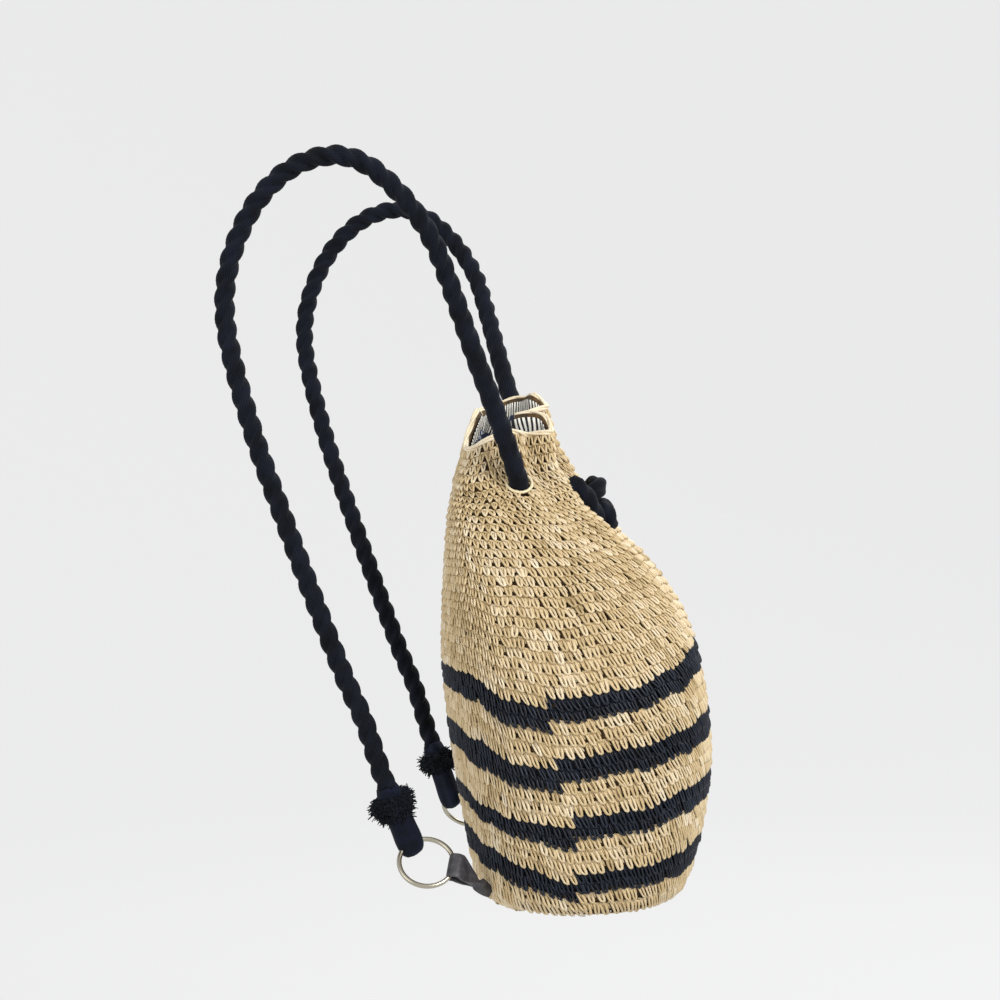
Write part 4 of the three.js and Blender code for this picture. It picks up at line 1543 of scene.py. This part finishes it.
        def offsets(turn: Array, ring: Array) -> tuple[Array, Array]:
            """A strap's section: flat faces and rounded edges."""
            c, s = np.cos(turn), np.sin(turn)
            return (
                np.sign(c) * np.abs(c) ** 0.35 * half_width[ring],
                np.sign(s) * np.abs(s) ** 0.45 * half_thick[ring],
            )

        bm = bent_bar(line, offsets, 24, frames=(wide, flat))
        piece = from_bmesh(f"leather_tab_{self.side.word}", self.put(bm))
        dress(piece, LEATHER.material(), "dark_leather")
        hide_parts(f"tab_{self.side.word}")
        return piece

    def build(self) -> list[bpy.types.Object]:
        """Builds the pieces of this side."""
        return [self.sleeve(), self.tuft(), self.ring(), self.tab()]


@dataclass
class Straps:
    """The two strap ropes, the worked edge of each side hole and the front knot."""

    form: SackForm
    rope: LaidRope = field(default_factory=LaidRope)
    worn_stretch: tuple[float, float] = (0.7, 0.82)  # shares of the rope's line
    lip: float = 0.0024
    lip_play: float = 0.0006
    lip_bindings: int = 44
    lip_tone: float = 0.6
    knot_beyond: float = 0.016
    knot_softness: float = 0.25

    def line(self, side: Side) -> Array:
        """The middle of one strap rope, from its ring to the knot."""
        return through(side.turn(np.array(STRAP_ROUTE_MM) * MM), self.rope.step)

    def strap(self, side: Side) -> bpy.types.Object:
        """One strap rope."""
        line = self.line(side)
        # The last stretch above the side hole is worn round
        worn = smoothstep(np.linspace(0, 1, len(line)), *self.worn_stretch) * 0.6
        piece = self.rope.build(f"laid_rope_{side.word}", line, soften=worn)
        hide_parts(f"strap_rope_{side.word}")
        return piece

    def declare(self, side: Side) -> None:
        """Works out the middle of one strap rope, and does nothing more with it."""
        line = self.line(side)

    def face_distance(self, points: Array) -> tuple[Array, Array]:
        """How far points lie outside the sack's face, and the directions out of it there."""
        rise = (points[:, 2] + self.form.hang) / self.form.height
        middle = smooth_table(self.form.sections, 3, rise) * self.form.depth - self.form.behind
        angle = np.degrees(np.arctan2(-points[:, 0], points[:, 1] - middle))
        raised = rise + self.form.droop(angle, rise)
        normal = self.form.normal(angle, raised)
        return ((points - self.form.point(angle, raised)) * normal).sum(axis=1), normal

    def edge(self, side: Side) -> None:
        """Builds the pale worked edge of a side hole: a cord of thread bound round and round."""
        line = self.line(side)
        first, last = int(0.72 * len(line)), int(0.95 * len(line))
        distance, normals = self.face_distance(line[first:last])
        k = int(np.argmin(np.abs(distance)))
        middle, normal = line[first + k], normals[k]
        rope = unit(line[first + k + 1] - line[first + k - 1])
        across = unit(np.cross(rope, normal))
        upright = unit(np.cross(across, rope))
        grow = self.rope.diameter / 2 + self.lip_play + self.lip / 2
        turn = np.linspace(0, 2 * np.pi, 48, endpoint=False)[:, None]
        around = middle + grow * (across * np.cos(turn) + upright * np.sin(turn))
        slide = -((around - middle) @ normal) / rope.dot(normal)
        around = around + rope * slide[:, None] + normal * self.lip / 3
        loop = through(around, 0.0006, closed=True)

        def offsets(turn: Array, ring: Array) -> tuple[Array, Array]:
            """A round that swells at each binding."""
            swell = 1 + 0.16 * np.cos(turn + 2 * np.pi * self.lip_bindings * ring / len(loop))
            radius = self.lip / 2 * swell
            return radius * np.cos(turn), radius * np.sin(turn)

        piece = from_bmesh(f"hole_edge_{side.word}", bent_bar(loop, offsets, 10, closed=True))
        set_tones(piece.data, np.full(len(piece.data.vertices), self.lip_tone))
        dress(piece, PALE_THREAD.material(), "pale_thread")
        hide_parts(f"eyelet_edge_{side.word}")

    def knot(self) -> None:
        """Builds the front knot, where the two rope ends wrap round each other."""
        end = np.array(STRAP_ROUTE_MM[-1]) * MM
        middle = np.array([0.0, end[1] - self.knot_beyond, end[2]])
        # Each wrap: points in millimetres from the knot's middle, x to the wearer's right, y forward, z up
        wraps = (
            [(-11, 15, 0), (-19, 15, 9), (-24, 11, 16), (-24, 4, 9), (-21, -3, -4), (-13, -6, -14), (-2, -4, -18)],
            [(11, 15, 0), (13, 6, 10), (8, -2, 16), (0, -6, 15), (-8, -3, 9), (-11, 2, 0)],
            [(-9, -6, 2), (-9, -12, -5), (-8, -15, -13), (-8, -18, -21)],
            [(8, -4, 4), (11, -10, -3), (11, -13, -11), (10, -16, -19)],
        )
        parts = []
        for wrap in wraps:
            line = through(middle + np.array(wrap) * MM, 0.0022)
            section = self.rounded_ends(line, self.rope.section(line, self.knot_softness))
            parts.append(bent_bar(line, section, 24, hint=(1, 0, 0)))
        piece = merged("rope_knot", parts)
        dress(piece, ROPE_COTTON.material(), "navy_rope")
        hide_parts("front_knot")

    def rounded_ends(
        self, line: Array, section: Callable[[Array, Array], tuple[Array, Array]]
    ) -> Callable[[Array, Array], tuple[Array, Array]]:
        """Rounds off both ends of a stretch of rope."""
        along = lengths_along(line)
        room = self.rope.diameter / 2
        from_end = np.minimum(along, along[-1] - along)
        shrink = np.sqrt(np.clip(1 - np.clip(1 - from_end / room, 0, 1) ** 2, 0.02, 1))

        def offsets(turn: Array, ring: Array) -> tuple[Array, Array]:
            """The section, smaller towards the ends."""
            a, b = section(turn, ring)
            return a * shrink[ring], b * shrink[ring]

        return offsets


# ---------------------------------------------------------------------------
# The studio
# ---------------------------------------------------------------------------


@dataclass
class Studio:
    """A pale floor that curves up all round, soft lights and the camera."""

    middle: tuple[float, float, float] = (0.0, -0.1, -0.28)
    floor_height: float = -0.9
    floor_reach: float = 2.4  # from the middle to where the floor starts to curve up
    cove_radius: float = 1.2
    cove_height: float = 4.0
    camera_distance: float = 1.7
    camera_turn: float = 6.0  # towards the wearer's front from straight at their left side
    camera_height: float = -0.232
    camera_aside: float = -0.1025
    lens: float = 75.6
    drop: float = 0.5456  # degrees below level

    def camera(self) -> None:
        """Sets up the camera at the photograph's place."""
        data = bpy.data.cameras.new("camera")
        data.lens = self.lens
        data.sensor_width = 36.0
        piece = bpy.data.objects.new("camera", data)
        bpy.context.scene.collection.objects.link(piece)
        turn = math.radians(self.camera_turn)
        piece.location = (
            -self.camera_distance * math.cos(turn),
            self.camera_aside - self.camera_distance * math.sin(turn),
            self.camera_height,
        )
        down = math.tan(math.radians(self.drop))
        aim = Vector((math.cos(turn), math.sin(turn), -down))
        piece.rotation_euler = aim.to_track_quat("-Z", "Y").to_euler()
        bpy.context.scene.camera = piece

    def cove(self) -> None:
        """Builds the floor, spun up into a wall all round."""
        bm = bmesh.new()
        flat, bend = self.floor_reach, self.cove_radius
        profile = [(0.0, 0.0), (flat, 0.0)]
        profile += [(flat + bend * math.sin(a), bend - bend * math.cos(a)) for a in np.radians(range(10, 91, 10))]
        profile += [(flat + bend, self.cove_height)]
        verts = [bm.verts.new((x, 0, self.floor_height + z)) for x, z in profile]
        for a, b in zip(verts, verts[1:]):
            bm.edges.new((a, b))
        spin_round(bm, 72)
        bmesh.ops.remove_doubles(bm, verts=bm.verts[:], dist=1e-5)
        outward(bm)
        piece = from_bmesh("studio_floor", bm)
        dress(piece, PAPER.material())

    def light(self, name: str, place: Sequence[float], size: float, watts: float) -> None:
        """Sets up a large square soft light aimed at the middle of the object."""
        data = bpy.data.lights.new(name, "AREA")
        data.size = size
        data.energy = watts
        piece = bpy.data.objects.new(name, data)
        bpy.context.scene.collection.objects.link(piece)
        piece.location = place
        aim = Vector(self.middle) - Vector(place)
        piece.rotation_euler = aim.to_track_quat("-Z", "Y").to_euler()

    def build(self) -> None:
        """Sets up the studio."""
        self.camera()
        self.cove()
        self.light("key", (-1.5, -1.6, 1.1), 1.0, 46)
        self.light("fill", (-1.9, 1.3, 0.3), 1.6, 14)
        self.light("back", (1.6, -1.2, 1.2), 1.2, 24)
        world = bpy.data.worlds.new("studio")
        bpy.context.scene.world = world
        world.use_nodes = True
        background = world.node_tree.nodes["Background"]
        background.inputs["Color"].default_value = linear("#F2F4F8")
        background.inputs["Strength"].default_value = 0.75
        bpy.context.scene.view_settings.view_transform = "Standard"


def main() -> None:
    """Builds the backpack and its studio in order."""
    logging.basicConfig(level=logging.INFO, format="%(name)s: %(message)s")
    Studio().build()
    form = SackForm()
    straps = Straps(form)
    ropes = {side: straps.strap(side) for side in Side}
    rope_lines = [straps.line(side) for side in Side]
    for side in Side:
        hardware = StrapHardware(form, side).build()
        straps.declare(side)
        straps.edge(side)
    straps.knot()
    CrochetedSack(form, rope_lines).build()
    Lining(form, rope_lines).build()


if __name__ == "__main__":
    main()
